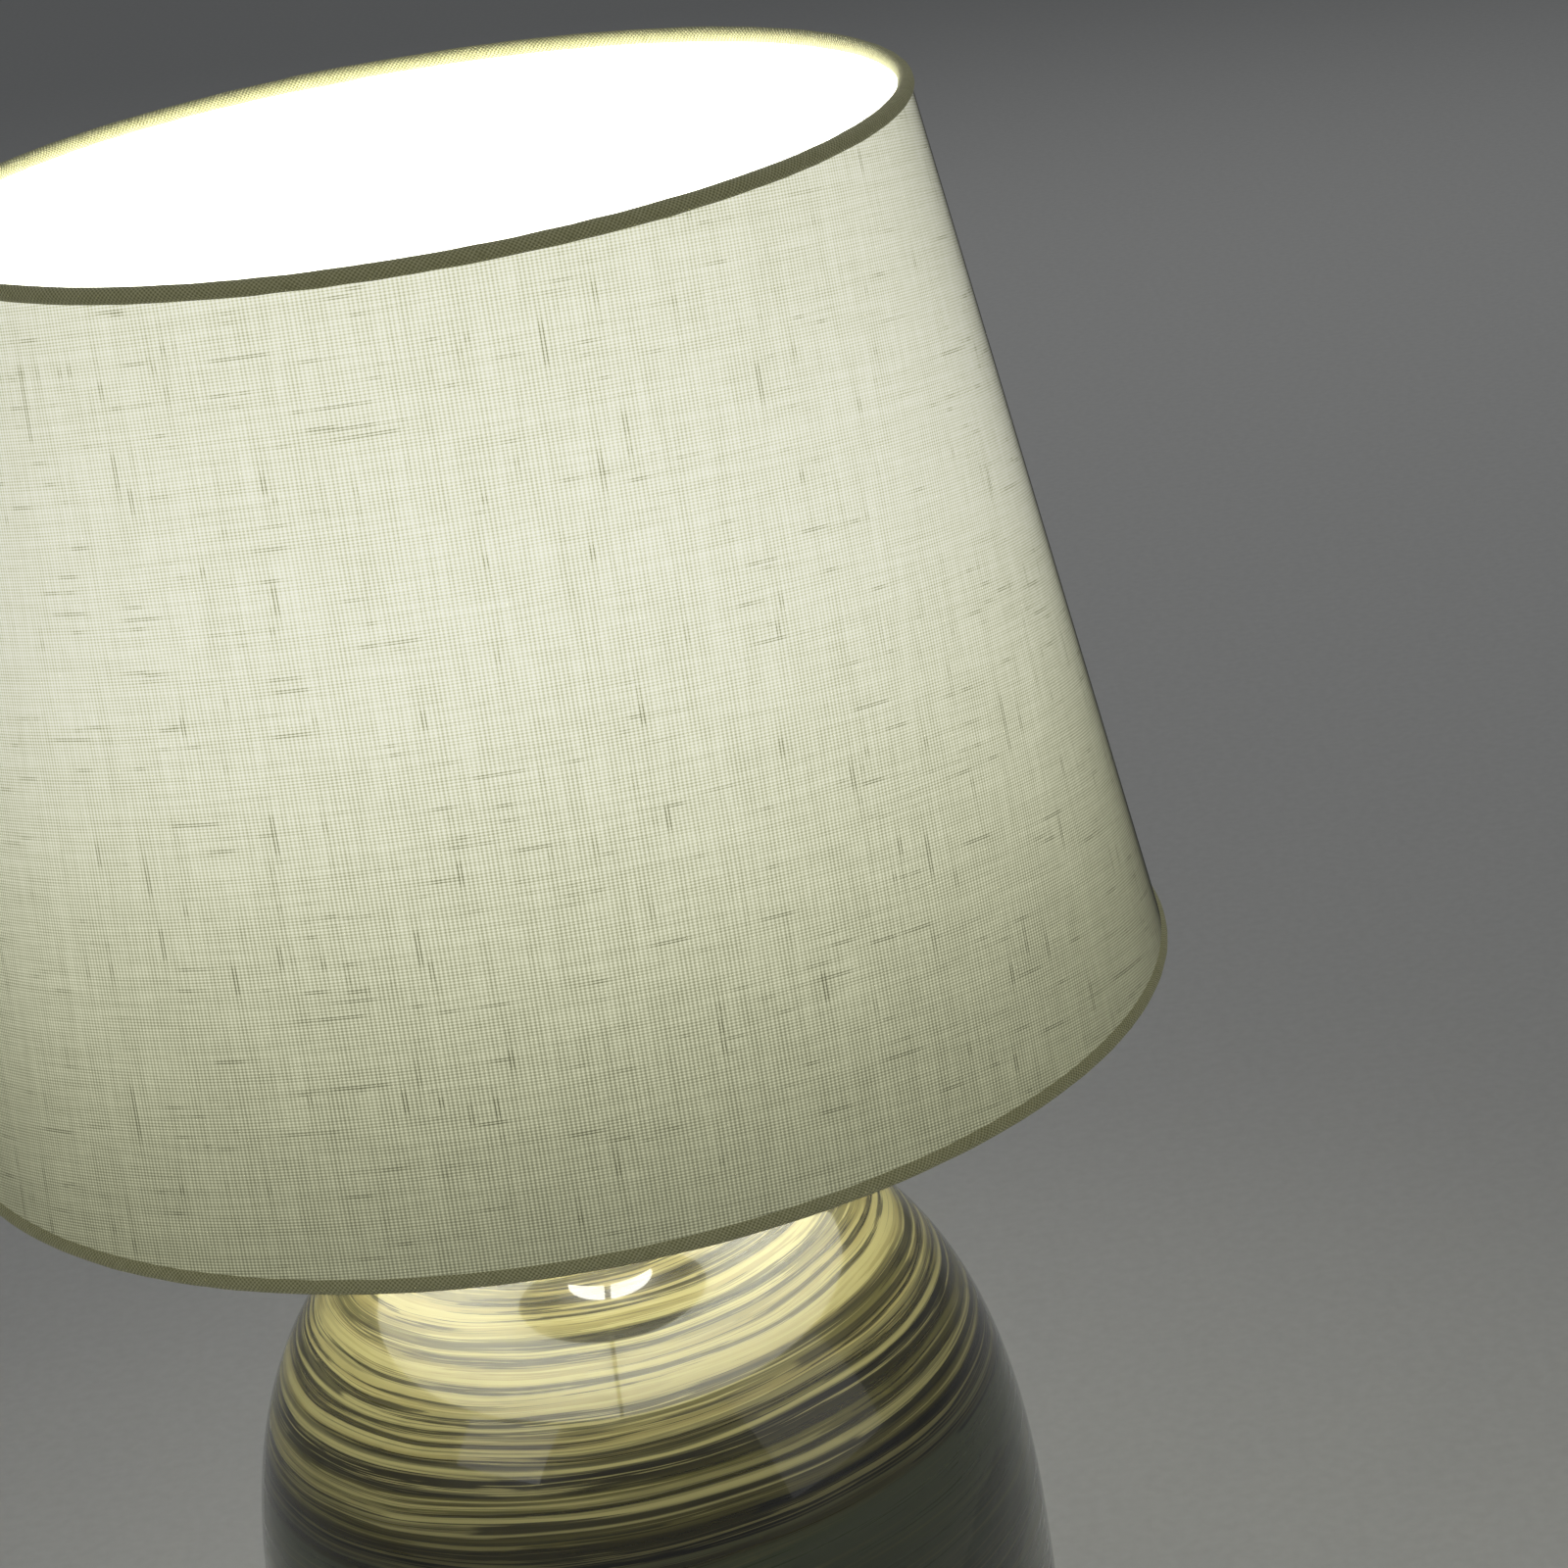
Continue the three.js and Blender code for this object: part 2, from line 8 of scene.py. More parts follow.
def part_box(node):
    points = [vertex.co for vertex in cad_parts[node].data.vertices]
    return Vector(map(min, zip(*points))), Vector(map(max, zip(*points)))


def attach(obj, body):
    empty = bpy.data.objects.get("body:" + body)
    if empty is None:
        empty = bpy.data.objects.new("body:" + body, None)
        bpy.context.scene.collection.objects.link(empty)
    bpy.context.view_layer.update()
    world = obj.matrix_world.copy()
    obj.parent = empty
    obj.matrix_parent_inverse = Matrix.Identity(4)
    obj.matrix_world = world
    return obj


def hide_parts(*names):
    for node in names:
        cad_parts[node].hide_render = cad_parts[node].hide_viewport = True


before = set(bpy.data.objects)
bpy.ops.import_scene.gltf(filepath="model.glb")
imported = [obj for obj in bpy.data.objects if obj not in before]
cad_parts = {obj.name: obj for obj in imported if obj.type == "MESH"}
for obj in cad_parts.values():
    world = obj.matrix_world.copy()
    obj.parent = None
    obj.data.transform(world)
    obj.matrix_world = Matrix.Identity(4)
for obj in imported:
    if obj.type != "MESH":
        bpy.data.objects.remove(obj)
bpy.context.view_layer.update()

MM = 0.001


# ---- Studio: camera, floor and soft light ----
# The camera looks down on the lamp from a little above the shade, leaning to one side.
# A pale sweep stands in for the table, with big soft lamps round it.

shade_foot, shade_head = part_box("bottom_edge_trim"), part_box("top_edge_trim")
shade_bottom_z = (shade_foot[0].z + shade_foot[1].z) / 2
shade_top_z = (shade_head[0].z + shade_head[1].z) / 2

camera_data = bpy.data.cameras.new("camera")
camera_data.sensor_width = 36
camera_data.lens = 101.45
camera = bpy.data.objects.new("camera", camera_data)
bpy.context.scene.collection.objects.link(camera)
view_elevation = radians(19.956)
view_roll = radians(-9.077)
tilt = Matrix.Rotation(pi / 2 - view_elevation, 4, "X")
camera.rotation_euler = (tilt @ Matrix.Rotation(view_roll, 4, "Z")).to_euler()
camera.location = Vector((0.06375, -1.01920, 0.41787)) + Vector((0, 0, shade_bottom_z))
bpy.context.scene.camera = camera
bpy.context.scene.view_settings.view_transform = "Standard"


def new_object(name, mesh, body=None):
    piece = bpy.data.objects.new(name, mesh)
    bpy.context.scene.collection.objects.link(piece)
    if body:
        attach(piece, body)
    return piece


def mesh_from(bm, name, smooth_angle=35):
    """Closes a bmesh off into a mesh with smooth faces and sharp corners."""
    mesh = bpy.data.meshes.new(name)
    bm.to_mesh(mesh)
    bm.free()
    mesh.shade_smooth()
    mesh.set_sharp_from_angle(angle=radians(smooth_angle))
    return mesh


class Finish:
    """A node material under construction."""

    def __init__(self, name):
        self.material = bpy.data.materials.new(name)
        self.material.use_nodes = True
        self.nodes = self.material.node_tree.nodes
        self.links = self.material.node_tree.links
        self.shader = self.nodes["Principled BSDF"]

    def add(self, kind, inputs=None, **settings):
        made = self.nodes.new("ShaderNode" + kind)
        for key, value in settings.items():
            setattr(made, key, value)
        for key, value in (inputs or {}).items():
            self.feed(made.inputs[key], value)
        return made

    def feed(self, socket, value):
        if isinstance(value, bpy.types.NodeSocket):
            self.links.new(value, socket)
        else:
            socket.default_value = value

    def set(self, **inputs):
        for key, value in inputs.items():
            self.feed(self.shader.inputs[key.replace("_", " ")], value)

    def math(self, operation, first, second=0.0, third=0.0, clamp=False):
        made = self.add("Math", operation=operation, use_clamp=clamp)
        for socket, value in zip(made.inputs, (first, second, third)):
            self.feed(socket, value)
        return made.outputs[0]

    def ramp(self, factor, stops, interpolation="LINEAR"):
        made = self.add("ValToRGB", {"Fac": factor})
        made.color_ramp.interpolation = interpolation
        elements = made.color_ramp.elements
        while len(elements) < len(stops):
            elements.new(0.5)
        for element, (place, colour) in zip(elements, stops):
            element.position = place
            element.color = (*colour, 1) if len(colour) == 3 else colour
        return made.outputs["Color"]

    def spread(self, value, low, high, to_low=0.0, to_high=1.0, smooth=False):
        kind = "SMOOTHSTEP" if smooth else "LINEAR"
        made = self.add("MapRange", interpolation_type=kind)
        for socket, number in zip(made.inputs, (value, low, high, to_low, to_high)):
            self.feed(socket, number)
        return made.outputs["Result"]

    def mix(self, factor, first, second, blend="MIX"):
        made = self.add("Mix", data_type="RGBA", blend_type=blend)
        self.feed(made.inputs["Factor"], factor)
        self.feed(made.inputs["A"], first if isinstance(first, bpy.types.NodeSocket) else (*first, 1))
        self.feed(made.inputs["B"], second if isinstance(second, bpy.types.NodeSocket) else (*second, 1))
        return made.outputs["Result"]

    def place(self):
        return self.add("TexCoord").outputs["Object"]

    def noise(self, vector, scale, detail=3.0, roughness=0.5):
        inputs = {"Vector": vector, "Scale": scale, "Detail": detail, "Roughness": roughness}
        return self.add("TexNoise", inputs).outputs["Fac"]

    def scaled(self, vector, scale):
        return self.add("VectorMath", {0: vector, 1: scale}, operation="MULTIPLY").outputs["Vector"]

    def bump(self, height, distance, strength=1.0):
        inputs = {"Height": height, "Distance": distance, "Strength": strength}
        self.set(Normal=self.add("Bump", inputs).outputs["Normal"])


floor_bm = bmesh.new()
bmesh.ops.create_circle(floor_bm, cap_ends=True, radius=30, segments=96)
floor = new_object("floor", mesh_from(floor_bm, "floor"))
paper = Finish("pale_paper")
paper_fibre = paper.noise(paper.place(), 240, 3)
paper.set(Base_Color=paper.ramp(paper_fibre, [(0.3, (0.60, 0.60, 0.585)), (0.7, (0.64, 0.64, 0.625))]))
paper.set(Roughness=0.9)
floor.data.materials.append(paper.material)

world = bpy.data.worlds.new("studio")
world.use_nodes = True
world.node_tree.nodes["Background"].inputs["Color"].default_value = (0.93, 0.96, 1.0, 1)
world.node_tree.nodes["Background"].inputs["Strength"].default_value = 0.13
bpy.context.scene.world = world


def soft_lamp(name, location, target, size, power, colour=(1, 1, 1)):
    data = bpy.data.lights.new(name, "AREA")
    data.size = size
    data.energy = power
    data.color = colour
    lamp = bpy.data.objects.new(name, data)
    lamp.location = location
    lamp.rotation_euler = (Vector(target) - Vector(location)).to_track_quat("-Z", "Y").to_euler()
    bpy.context.scene.collection.objects.link(lamp)


lamp_middle = (0, 0, 0.25)
soft_lamp("key_light", (-1.5, -1.5, 1.9), lamp_middle, 1.3, 5)
soft_lamp("fill_light", (1.9, -1.0, 1.2), lamp_middle, 1.6, 3)
soft_lamp("back_light", (0.4, 2.0, 1.5), lamp_middle, 1.4, 4)


# ---- Felt pad ----
# A disc of pressed wool felt, glued under the base so that the glaze doesn't scratch the table.

felt = Finish("pressed_felt")
felt_place = felt.place()
felt_fibre = felt.noise(felt.scaled(felt_place, (1, 1, 0.4)), 1400, 5, 0.7)
felt_cloud = felt.noise(felt_place, 60, 2)
felt_shade = felt.mix(felt_cloud, (0.030, 0.028, 0.026), (0.055, 0.052, 0.048))
felt.set(Base_Color=felt.mix(felt.spread(felt_fibre, 0.5, 0.8), felt_shade, (0.12, 0.115, 0.105)))
felt.set(Roughness=1.0, Sheen_Weight=0.6, Sheen_Roughness=0.6)
felt.bump(felt_fibre, 0.0004, 0.8)


def refinish(node, finish):
    """Gives a carried-over CAD node its detailed material."""
    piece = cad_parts[node]
    piece.data.materials.clear()
    piece.data.materials.append(finish.material)


refinish("foot_felt", felt)


# ---- Base plate, washer, nuts, terminal screws and the threaded rod ----
# Zinc-plated steel: the plate and nut pull the body down on the rod, out of sight in the foot.
# The rod is an M10 tube with a 1 mm thread, which the bump draws round it.

zinc = Finish("zinc_plate")
zinc_place = zinc.place()
zinc_spangle = zinc.add("TexVoronoi", {"Vector": zinc_place, "Scale": 900.0}).outputs["Color"]
zinc_grey = zinc.add("RGBToBW", {"Color": zinc_spangle}).outputs["Val"]
zinc_stain = zinc.noise(zinc_place, 90, 4, 0.6)
zinc_colour = zinc.mix(zinc_stain, (0.46, 0.47, 0.48), (0.66, 0.66, 0.64))
zinc.set(Base_Color=zinc.mix(zinc.spread(zinc_grey, 0, 1, 0, 0.25), zinc_colour, (0.8, 0.82, 0.84)))
zinc.set(Metallic=1.0, Roughness=zinc.spread(zinc_stain, 0.3, 0.7, 0.25, 0.5))
zinc_thread = zinc.add("SeparateXYZ", {"Vector": zinc_place}).outputs["Z"]
zinc_ridges = zinc.math("SINE", zinc.math("MULTIPLY", zinc_thread, tau / MM))
zinc.bump(zinc_ridges, 0.0002, 0.5)
for steel_node in ("base_washer", "base_nut", "threaded_rod", "holder_lock_nut"):
    refinish(steel_node, zinc)

plain_zinc = Finish("zinc_plate_flat")
plain_place = plain_zinc.place()
plain_spangle = plain_zinc.add("TexVoronoi", {"Vector": plain_place, "Scale": 260.0})
plain_grey = plain_zinc.add("RGBToBW", {"Color": plain_spangle.outputs["Color"]}).outputs["Val"]
plain_stain = plain_zinc.noise(plain_place, 40, 4, 0.6)
plain_colour = plain_zinc.mix(plain_stain, (0.44, 0.45, 0.46), (0.64, 0.64, 0.62))
plain_mix = plain_zinc.spread(plain_grey, 0, 1, 0, 0.25)
plain_zinc.set(Base_Color=plain_zinc.mix(plain_mix, plain_colour, (0.8, 0.82, 0.84)))
plain_zinc.set(Metallic=1.0, Roughness=plain_zinc.spread(plain_stain, 0.3, 0.7, 0.28, 0.5))
plain_zinc.bump(plain_stain, 0.0002, 0.3)
for steel_node in ("base_plate", "terminal_screw_1", "terminal_screw_2"):
    refinish(steel_node, plain_zinc)


# ---- Ceramic body ----
# A slip-cast vessel with a domed shoulder, open at the neck and the foot. It is banded with a
# brush on the wheel, with dark leaves printed round the belly, under a clear gloss glaze.

ceramic_low, ceramic_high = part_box("ceramic_body")
girth_radius = ceramic_high.x
foot_z, crown_z = ceramic_low.z, ceramic_high.z
girth_z = foot_z + 107.7 * MM
foot_radius = 66 * MM
wall = 6 * MM
neck_land = 22 * MM
rod_hole = 5.3 * MM
shoulder_power = 2.75
underside_power = 2.4
plate_low, plate_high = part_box("base_plate")
foot_bore = plate_high.x + 0.3 * MM
foot_ledge_z = plate_high.z + 0.3 * MM
foot_floor_z = foot_ledge_z + 6 * MM
foot_opening = foot_bore - 8 * MM


def shoulder(radius, crown, steps):
    """The superellipse from the girth up to the flat land round the neck."""
    last = (pi / 2) - atan2((neck_land / radius) ** (shoulder_power / 2),
                            sqrt(1 - (neck_land / radius) ** shoulder_power))
    points = []
    for step in range(steps + 1):
        angle = last * step / steps
        out = radius * cos(angle) ** (2 / shoulder_power)
        rise = (crown - girth_z) * sin(angle) ** (2 / shoulder_power)
        points.append((out, girth_z + rise))
    return points


def underside(radius, end_radius, end_z, steps):
    """The sweep from the foot up to the girth."""
    points = []
    for step in range(steps):
        z = end_z + (girth_z - end_z) * step / steps
        depth = ((girth_z - z) / (girth_z - end_z)) ** underside_power
        points.append((radius - (radius - end_radius) * depth, z))
    return points


def spun(name, outline, steps=96, soften=0.0, smooth_angle=35):
    """A turned piece: the closed outline of (radius, height) points is spun about the lamp's axis."""
    bm = bmesh.new()
    corners = [bm.verts.new((radius, 0, z)) for radius, z in outline]
    edges = [bm.edges.new(pair) for pair in zip(corners, corners[1:])]
    if outline[0][0] > 0 or outline[-1][0] > 0:
        edges.append(bm.edges.new((corners[-1], corners[0])))
    bmesh.ops.spin(bm, geom=corners + edges, cent=(0, 0, 0), axis=(0, 0, 1), dvec=(0, 0, 0),
                   angle=tau, steps=steps, use_merge=True)
    bmesh.ops.remove_doubles(bm, verts=bm.verts, dist=1e-6)
    bmesh.ops.recalc_face_normals(bm, faces=bm.faces)
    if soften:
        corner_edges = [e for e in bm.edges if e.is_manifold and e.calc_face_angle() > radians(30)]
        bmesh.ops.bevel(bm, geom=corner_edges, offset=soften, segments=3, profile=0.5,
                        affect="EDGES", material=-1)
    return mesh_from(bm, name, smooth_angle)


body_outline = [
    *underside(girth_radius, foot_radius, foot_z, 26),
    *shoulder(girth_radius, crown_z, 48),
    (rod_hole, crown_z),
    (rod_hole, crown_z - wall),
    *reversed(shoulder(girth_radius - wall, crown_z - wall, 20)),
    *reversed(underside(girth_radius - wall, foot_bore, foot_floor_z, 12)),
    (foot_opening, foot_floor_z),
    (foot_opening, foot_ledge_z),
    (foot_bore, foot_ledge_z),
    (foot_bore, foot_z),
]
ceramic = new_object("glazed_body", spun("glazed_body", body_outline, 192, 0.8 * MM), "lamp")

glaze = Finish("banded_glaze")
glaze_place = glaze.place()
glaze_axes = glaze.add("SeparateXYZ", {"Vector": glaze_place}).outputs
glaze_x, glaze_y = glaze_axes["X"], glaze_axes["Y"]
glaze_radius = glaze.math("SQRT", glaze.math("ADD", glaze.math("MULTIPLY", glaze_x, glaze_x),
                                             glaze.math("MULTIPLY", glaze_y, glaze_y)))
glaze_side = glaze.math("DIVIDE", glaze_x, glaze.math("MAXIMUM", glaze_radius, MM))
glaze_azimuth = glaze.math("MULTIPLY", glaze.math("ARCTAN2", glaze_x, glaze.math("MULTIPLY", glaze_y, -1.0)),
                           180 / pi)
glaze_height = glaze.math("MULTIPLY", glaze_axes["Z"], 1 / MM)
# The brush works along the wall, so a band is placed by its height and by how far the shoulder has
# turned in. The bands lean a little, as the brush climbed while the wheel turned.
shoulder_share = 0.55
band_lean = 2.6


def band_key(height):
    """Where along the wall, in mm, the brush is at a height on the outside of the shoulder."""
    share = max(0.0, (height * MM - girth_z) / (crown_z - girth_z))
    radius = girth_radius * (1 - min(1.0, share) ** shoulder_power) ** (1 / shoulder_power)
    return height + shoulder_share * (girth_radius - radius) / MM


turned_in = glaze.math("MULTIPLY", glaze.math("SUBTRACT", girth_radius, glaze_radius), shoulder_share / MM)
on_shoulder = glaze.spread(glaze_height, girth_z / MM, girth_z / MM + 20)
banded = glaze.math("ADD", glaze_height, glaze.math("MULTIPLY", turned_in, on_shoulder))
banded = glaze.math("SUBTRACT", banded, glaze.math("MULTIPLY", glaze_side, band_lean))
round_x = glaze.math("DIVIDE", glaze_x, glaze.math("MAXIMUM", glaze_radius, MM))
round_y = glaze.math("DIVIDE", glaze_y, glaze.math("MAXIMUM", glaze_radius, MM))


def rings(turn_scale, height_scale, detail, roughness=0.55):
    """A noise drawn out into long strokes round the body."""
    made = glaze.add("CombineXYZ", {"X": glaze.math("MULTIPLY", round_x, turn_scale),
                                    "Y": glaze.math("MULTIPLY", round_y, turn_scale),
                                    "Z": glaze.math("MULTIPLY", banded, height_scale)})
    return glaze.noise(made.outputs["Vector"], 1.0, detail, roughness)


waver = rings(0.7, 0.03, 2)
banded = glaze.math("ADD", banded, glaze.spread(waver, 0.3, 0.7, -1.4, 1.4))
bristles = rings(0.6, 0.62, 4, 0.6)
hairlines = rings(0.9, 1.9, 3, 0.6)
broad = rings(0.4, 0.2, 3)
streaky = glaze.math("ADD", banded, glaze.spread(bristles, 0, 1, -1.6, 1.6))

CREAM = (0.37, 0.335, 0.145)
STRAW = (0.245, 0.21, 0.078)
OLIVE = (0.110, 0.098, 0.030)
BARK = (0.026, 0.023, 0.008)
INK = (0.006, 0.006, 0.004)
CELADON = (0.055, 0.064, 0.036)
band_low, band_high = 160.0, 286.0
band_stops = [
    (165, CELADON), (174.5, CELADON), (175.6, BARK), (176.6, INK), (177.6, INK), (178.2, CELADON),
    (178.9, INK), (181.5, INK), (182.6, BARK), (184.0, BARK), (186.0, OLIVE), (188.4, BARK),
    (189.6, BARK), (190.6, CREAM), (191.6, OLIVE), (195.0, OLIVE), (197.5, BARK), (200.4, BARK),
    (201.4, CREAM), (202.6, OLIVE), (204.0, STRAW), (205.0, CREAM), (206.4, STRAW), (209.5, OLIVE),
    (211.5, BARK), (213.0, STRAW), (217.0, CREAM), (219.0, STRAW), (224.0, OLIVE), (226.0, STRAW),
    (234.0, STRAW), (238.0, OLIVE),
]
band_factor = glaze.spread(streaky, band_low, band_high)
band_colour = glaze.ramp(band_factor, [((band_key(z) - band_low) / (band_high - band_low), c)
                                       for z, c in band_stops])
# Fine bristle lines, light where the slip ran thin and dark where it pooled.
above = glaze.spread(glaze_height, 172, 186, 0, 1, True)
for lines, light_from, dark_from, soft, strength in ((broad, 0.57, 0.44, 0.02, 0.5), (bristles, 0.58, 0.455, 0.015, 0.85),
                                                     (hairlines, 0.59, 0.42, 0.03, 0.5)):
    lit_share = glaze.spread(glaze_height, 180, 206, 0.55, 1.0)
    light_lines = glaze.math("MULTIPLY", glaze.spread(lines, light_from, light_from + soft, 0, strength, True), above)
    light_lines = glaze.math("MULTIPLY", light_lines, lit_share)
    dark_lines = glaze.math("MULTIPLY", glaze.spread(lines, dark_from, dark_from - soft, 0, strength, True), above)
    band_colour = glaze.mix(light_lines, band_colour, CREAM)
    band_colour = glaze.mix(dark_lines, band_colour, BARK)


def smooth_band(finish, value, low, high, edge):
    """1 between low and high, fading over edge at both ends."""
    up = finish.spread(value, low - edge, low + edge, 0, 1, True)
    down = finish.spread(value, high - edge, high + edge, 1, 0, True)
    return finish.math("MULTIPLY", up, down)


# Single brush strokes: height, half width, from and to azimuth, colour, strength.
brush_strokes = [
    (189.2, 0.9, -24, 40, BARK, 0.9),
    (190.9, 0.5, -40, 36, CREAM, 0.8),
    (186.3, 0.35, -62, 6, INK, 0.8),
    (183.6, 1.0, 18, 118, INK, 0.85),
    (174.0, 0.6, 58, 100, INK, 0.95),
    (188.0, 0.3, 46, 92, INK, 0.7),
    (208.2, 1.1, 34, 74, BARK, 0.8),
    (202.4, 0.7, -160, 24, INK, 0.55),
    (196.6, 0.8, -70, -20, INK, 0.6),
    (199.8, 0.9, -20, 150, INK, 0.6),
    (211.0, 0.8, -100, -56, BARK, 0.8),
]
ragged = glaze.spread(bristles, 0, 1, -5, 5)
stroke_azimuth = glaze.math("ADD", glaze_azimuth, ragged)
stroke_height = glaze.math("ADD", banded, glaze.spread(bristles, 0, 1, -0.5, 0.5))
for stroke_z, half, start, end, colour, strength in brush_strokes:
    along = smooth_band(glaze, stroke_azimuth, start, end, 1.5)
    stroke_at = band_key(stroke_z)
    across = smooth_band(glaze, stroke_height, stroke_at - half, stroke_at + half, 0.25)
    mask = glaze.math("MULTIPLY", glaze.math("MULTIPLY", along, across), strength)
    band_colour = glaze.mix(mask, band_colour, colour)

# Dark leaves round the belly, printed from one round leaf turned to several places.
LEAF_GREEN = (0.008, 0.026, 0.012)
LEAF_BROWN = (0.032, 0.027, 0.011)
belly_leaves = [(62, 146, 12, 17, 0.5), (-84, 138, 13, 16, -0.4), (118, 128, 13, 18, 0.3), (172, 150, 12, 15, -0.6),
                (-138, 120, 13, 18, 0.5), (6, 118, 13, 17, -0.2), (-38, 96, 12, 16, 0.6), (78, 88, 12, 16, -0.5)]
blotch = glaze.noise(glaze_place, 90, 4, 0.6)
for turn, height, half_across, half_up, lean in belly_leaves:
    offset = glaze.math("WRAP", glaze.math("SUBTRACT", glaze_azimuth, float(turn)), 180.0, -180.0)
    across = glaze.math("DIVIDE", offset, float(half_across))
    up = glaze.math("DIVIDE", glaze.math("SUBTRACT", glaze_height, float(height)), float(half_up))
    across = glaze.math("SUBTRACT", across, glaze.math("MULTIPLY", up, lean))
    reach = glaze.math("SQRT", glaze.math("ADD", glaze.math("MULTIPLY", across, across),
                                          glaze.math("MULTIPLY", up, up)))
    lobes = glaze.math("SINE", glaze.math("MULTIPLY", glaze.math("ARCTAN2", across, up), 9.0))
    reach = glaze.math("ADD", reach, glaze.math("MULTIPLY", lobes, 0.05))
    reach = glaze.math("ADD", reach, glaze.spread(bristles, 0, 1, -0.12, 0.12))
    mask = glaze.spread(reach, 0.92, 1.06, 1, 0, True)
    mask = glaze.math("MULTIPLY", mask, glaze.spread(blotch, 0.25, 0.6, 0.45, 0.95))
    band_colour = glaze.mix(mask, band_colour, glaze.mix(blotch, LEAF_GREEN, LEAF_BROWN))

lower_streaks = glaze.math("MULTIPLY", glaze.spread(bristles, 0.5, 0.7, 0, 0.35, True),
                           glaze.spread(glaze_height, 172, 176, 1, 0))
band_colour = glaze.mix(lower_streaks, band_colour, STRAW)
bare_foot = glaze.spread(glaze_height, 4.2, 5.2, 1, 0, True)
band_colour = glaze.mix(bare_foot, band_colour, (0.50, 0.42, 0.30))
glaze.set(Base_Color=band_colour)
glaze.set(Roughness=glaze.math("ADD", glaze.spread(bristles, 0, 1, 0.22, 0.36), glaze.math("MULTIPLY", bare_foot, 0.5)))
glaze.set(Coat_Weight=1.0, Coat_Roughness=0.012, Coat_IOR=1.5)
ripple = glaze.noise(glaze.scaled(glaze_place, (60, 60, 160)), 1.0, 2)
glaze_relief = glaze.math("ADD", glaze.math("MULTIPLY", bristles, 0.12), ripple)
glaze.bump(glaze_relief, 0.0005, 0.5)
ceramic.data.materials.append(glaze.material)
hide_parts("ceramic_body")


# ---- Cord inlet: a hole low in the back of the body, and the bush in it ----
# Moulded black rubber. Its flange seats on the glaze, and its bore takes an 8 mm round cord.

def drilled(piece, radius, length, placing):
    """Bores a round hole through a finished piece."""
    bm = bmesh.new()
    bmesh.ops.create_cone(bm, cap_ends=True, segments=48, radius1=radius, radius2=radius, depth=length,
                          matrix=placing)
    drill = new_object("drill", mesh_from(bm, "drill"))
    bore = piece.modifiers.new("bore", "BOOLEAN")
    bore.operation = "DIFFERENCE"
    bore.solver = "EXACT"
    bore.object = drill
    bpy.context.view_layer.update()
    ready = piece.evaluated_get(bpy.context.evaluated_depsgraph_get())
    bored = bpy.data.meshes.new_from_object(ready)
    piece.modifiers.remove(bore)
    piece.data = bored
    bored.shade_smooth()
    bored.set_sharp_from_angle(angle=radians(35))
    bpy.data.objects.remove(drill)


def underside_radius(z):
    """The body's outside radius at a height below the girth."""
    return girth_radius - (girth_radius - foot_radius) * ((girth_z - z) / (girth_z - foot_z)) ** underside_power


def piece_from(name, mesh, node, body, finish):
    """Puts a finished mesh in the place of its CAD node."""
    piece = new_object(name, mesh, body)
    piece.data.materials.append(finish.material)
    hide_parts(node)
    return piece


inlet_z = foot_z + 30 * MM
inlet_y = underside_radius(inlet_z)
inlet_lean = atan2(inlet_y - underside_radius(inlet_z - MM), MM)
inlet_place = Matrix.Translation((0, inlet_y, inlet_z)) @ Matrix.Rotation(-pi / 2 - inlet_lean, 4, "X")
drilled(ceramic, 5 * MM, 18 * MM, inlet_place @ Matrix.Translation((0, 0, -3 * MM)))

rubber = Finish("moulded_rubber")
rubber_place = rubber.place()
rubber_grain = rubber.noise(rubber_place, 1500, 4, 0.6)
rubber_dust = rubber.spread(rubber.noise(rubber_place, 160, 4, 0.6), 0.5, 0.75)
rubber.set(Base_Color=rubber.mix(rubber_dust, (0.014, 0.014, 0.016), (0.045, 0.043, 0.040)))
rubber.set(Roughness=rubber.spread(rubber_grain, 0.3, 0.7, 0.55, 0.8))
rubber.bump(rubber_grain, 0.0001, 0.5)
bush_outline = [(3.4, -6.0), (4.7, -6.0), (4.7, 0.9), (8.0, 0.9), (8.0, 1.7), (7.4, 2.3), (6.8, 2.5), (3.4, 2.5)]
bush_mesh = spun("inlet_bush", [(r * MM, z * MM) for r, z in bush_outline], 72, 0.25 * MM)
bush_mesh.transform(inlet_place)
piece_from("inlet_bush", bush_mesh, "cord_inlet_bush", "lamp", rubber)


# ---- Neck: rubber washer, domed brass cap and brass spacer tube ----
# The cap is spun from brass sheet and brushed while it turned, then lacquered. The tube is cut from
# the same brass and hides the rod between the cap and the lampholder.

def turned_place(finish, across=9000.0, around=6.0):
    """Coordinates that stretch a noise into fine rings, as a lathe tool or a polishing belt leaves."""
    axes = finish.add("SeparateXYZ", {"Vector": finish.place()}).outputs
    squares = [finish.math("MULTIPLY", axes[key], axes[key]) for key in "XY"]
    radius = finish.math("SQRT", finish.math("ADD", *squares))
    turn = finish.math("ARCTAN2", axes["X"], axes["Y"])
    rings = {"X": finish.math("MULTIPLY", radius, across),
             "Y": finish.math("MULTIPLY", finish.math("COSINE", turn), around),
             "Z": finish.math("MULTIPLY", axes["Z"], across)}
    return finish.add("CombineXYZ", rings).outputs["Vector"]


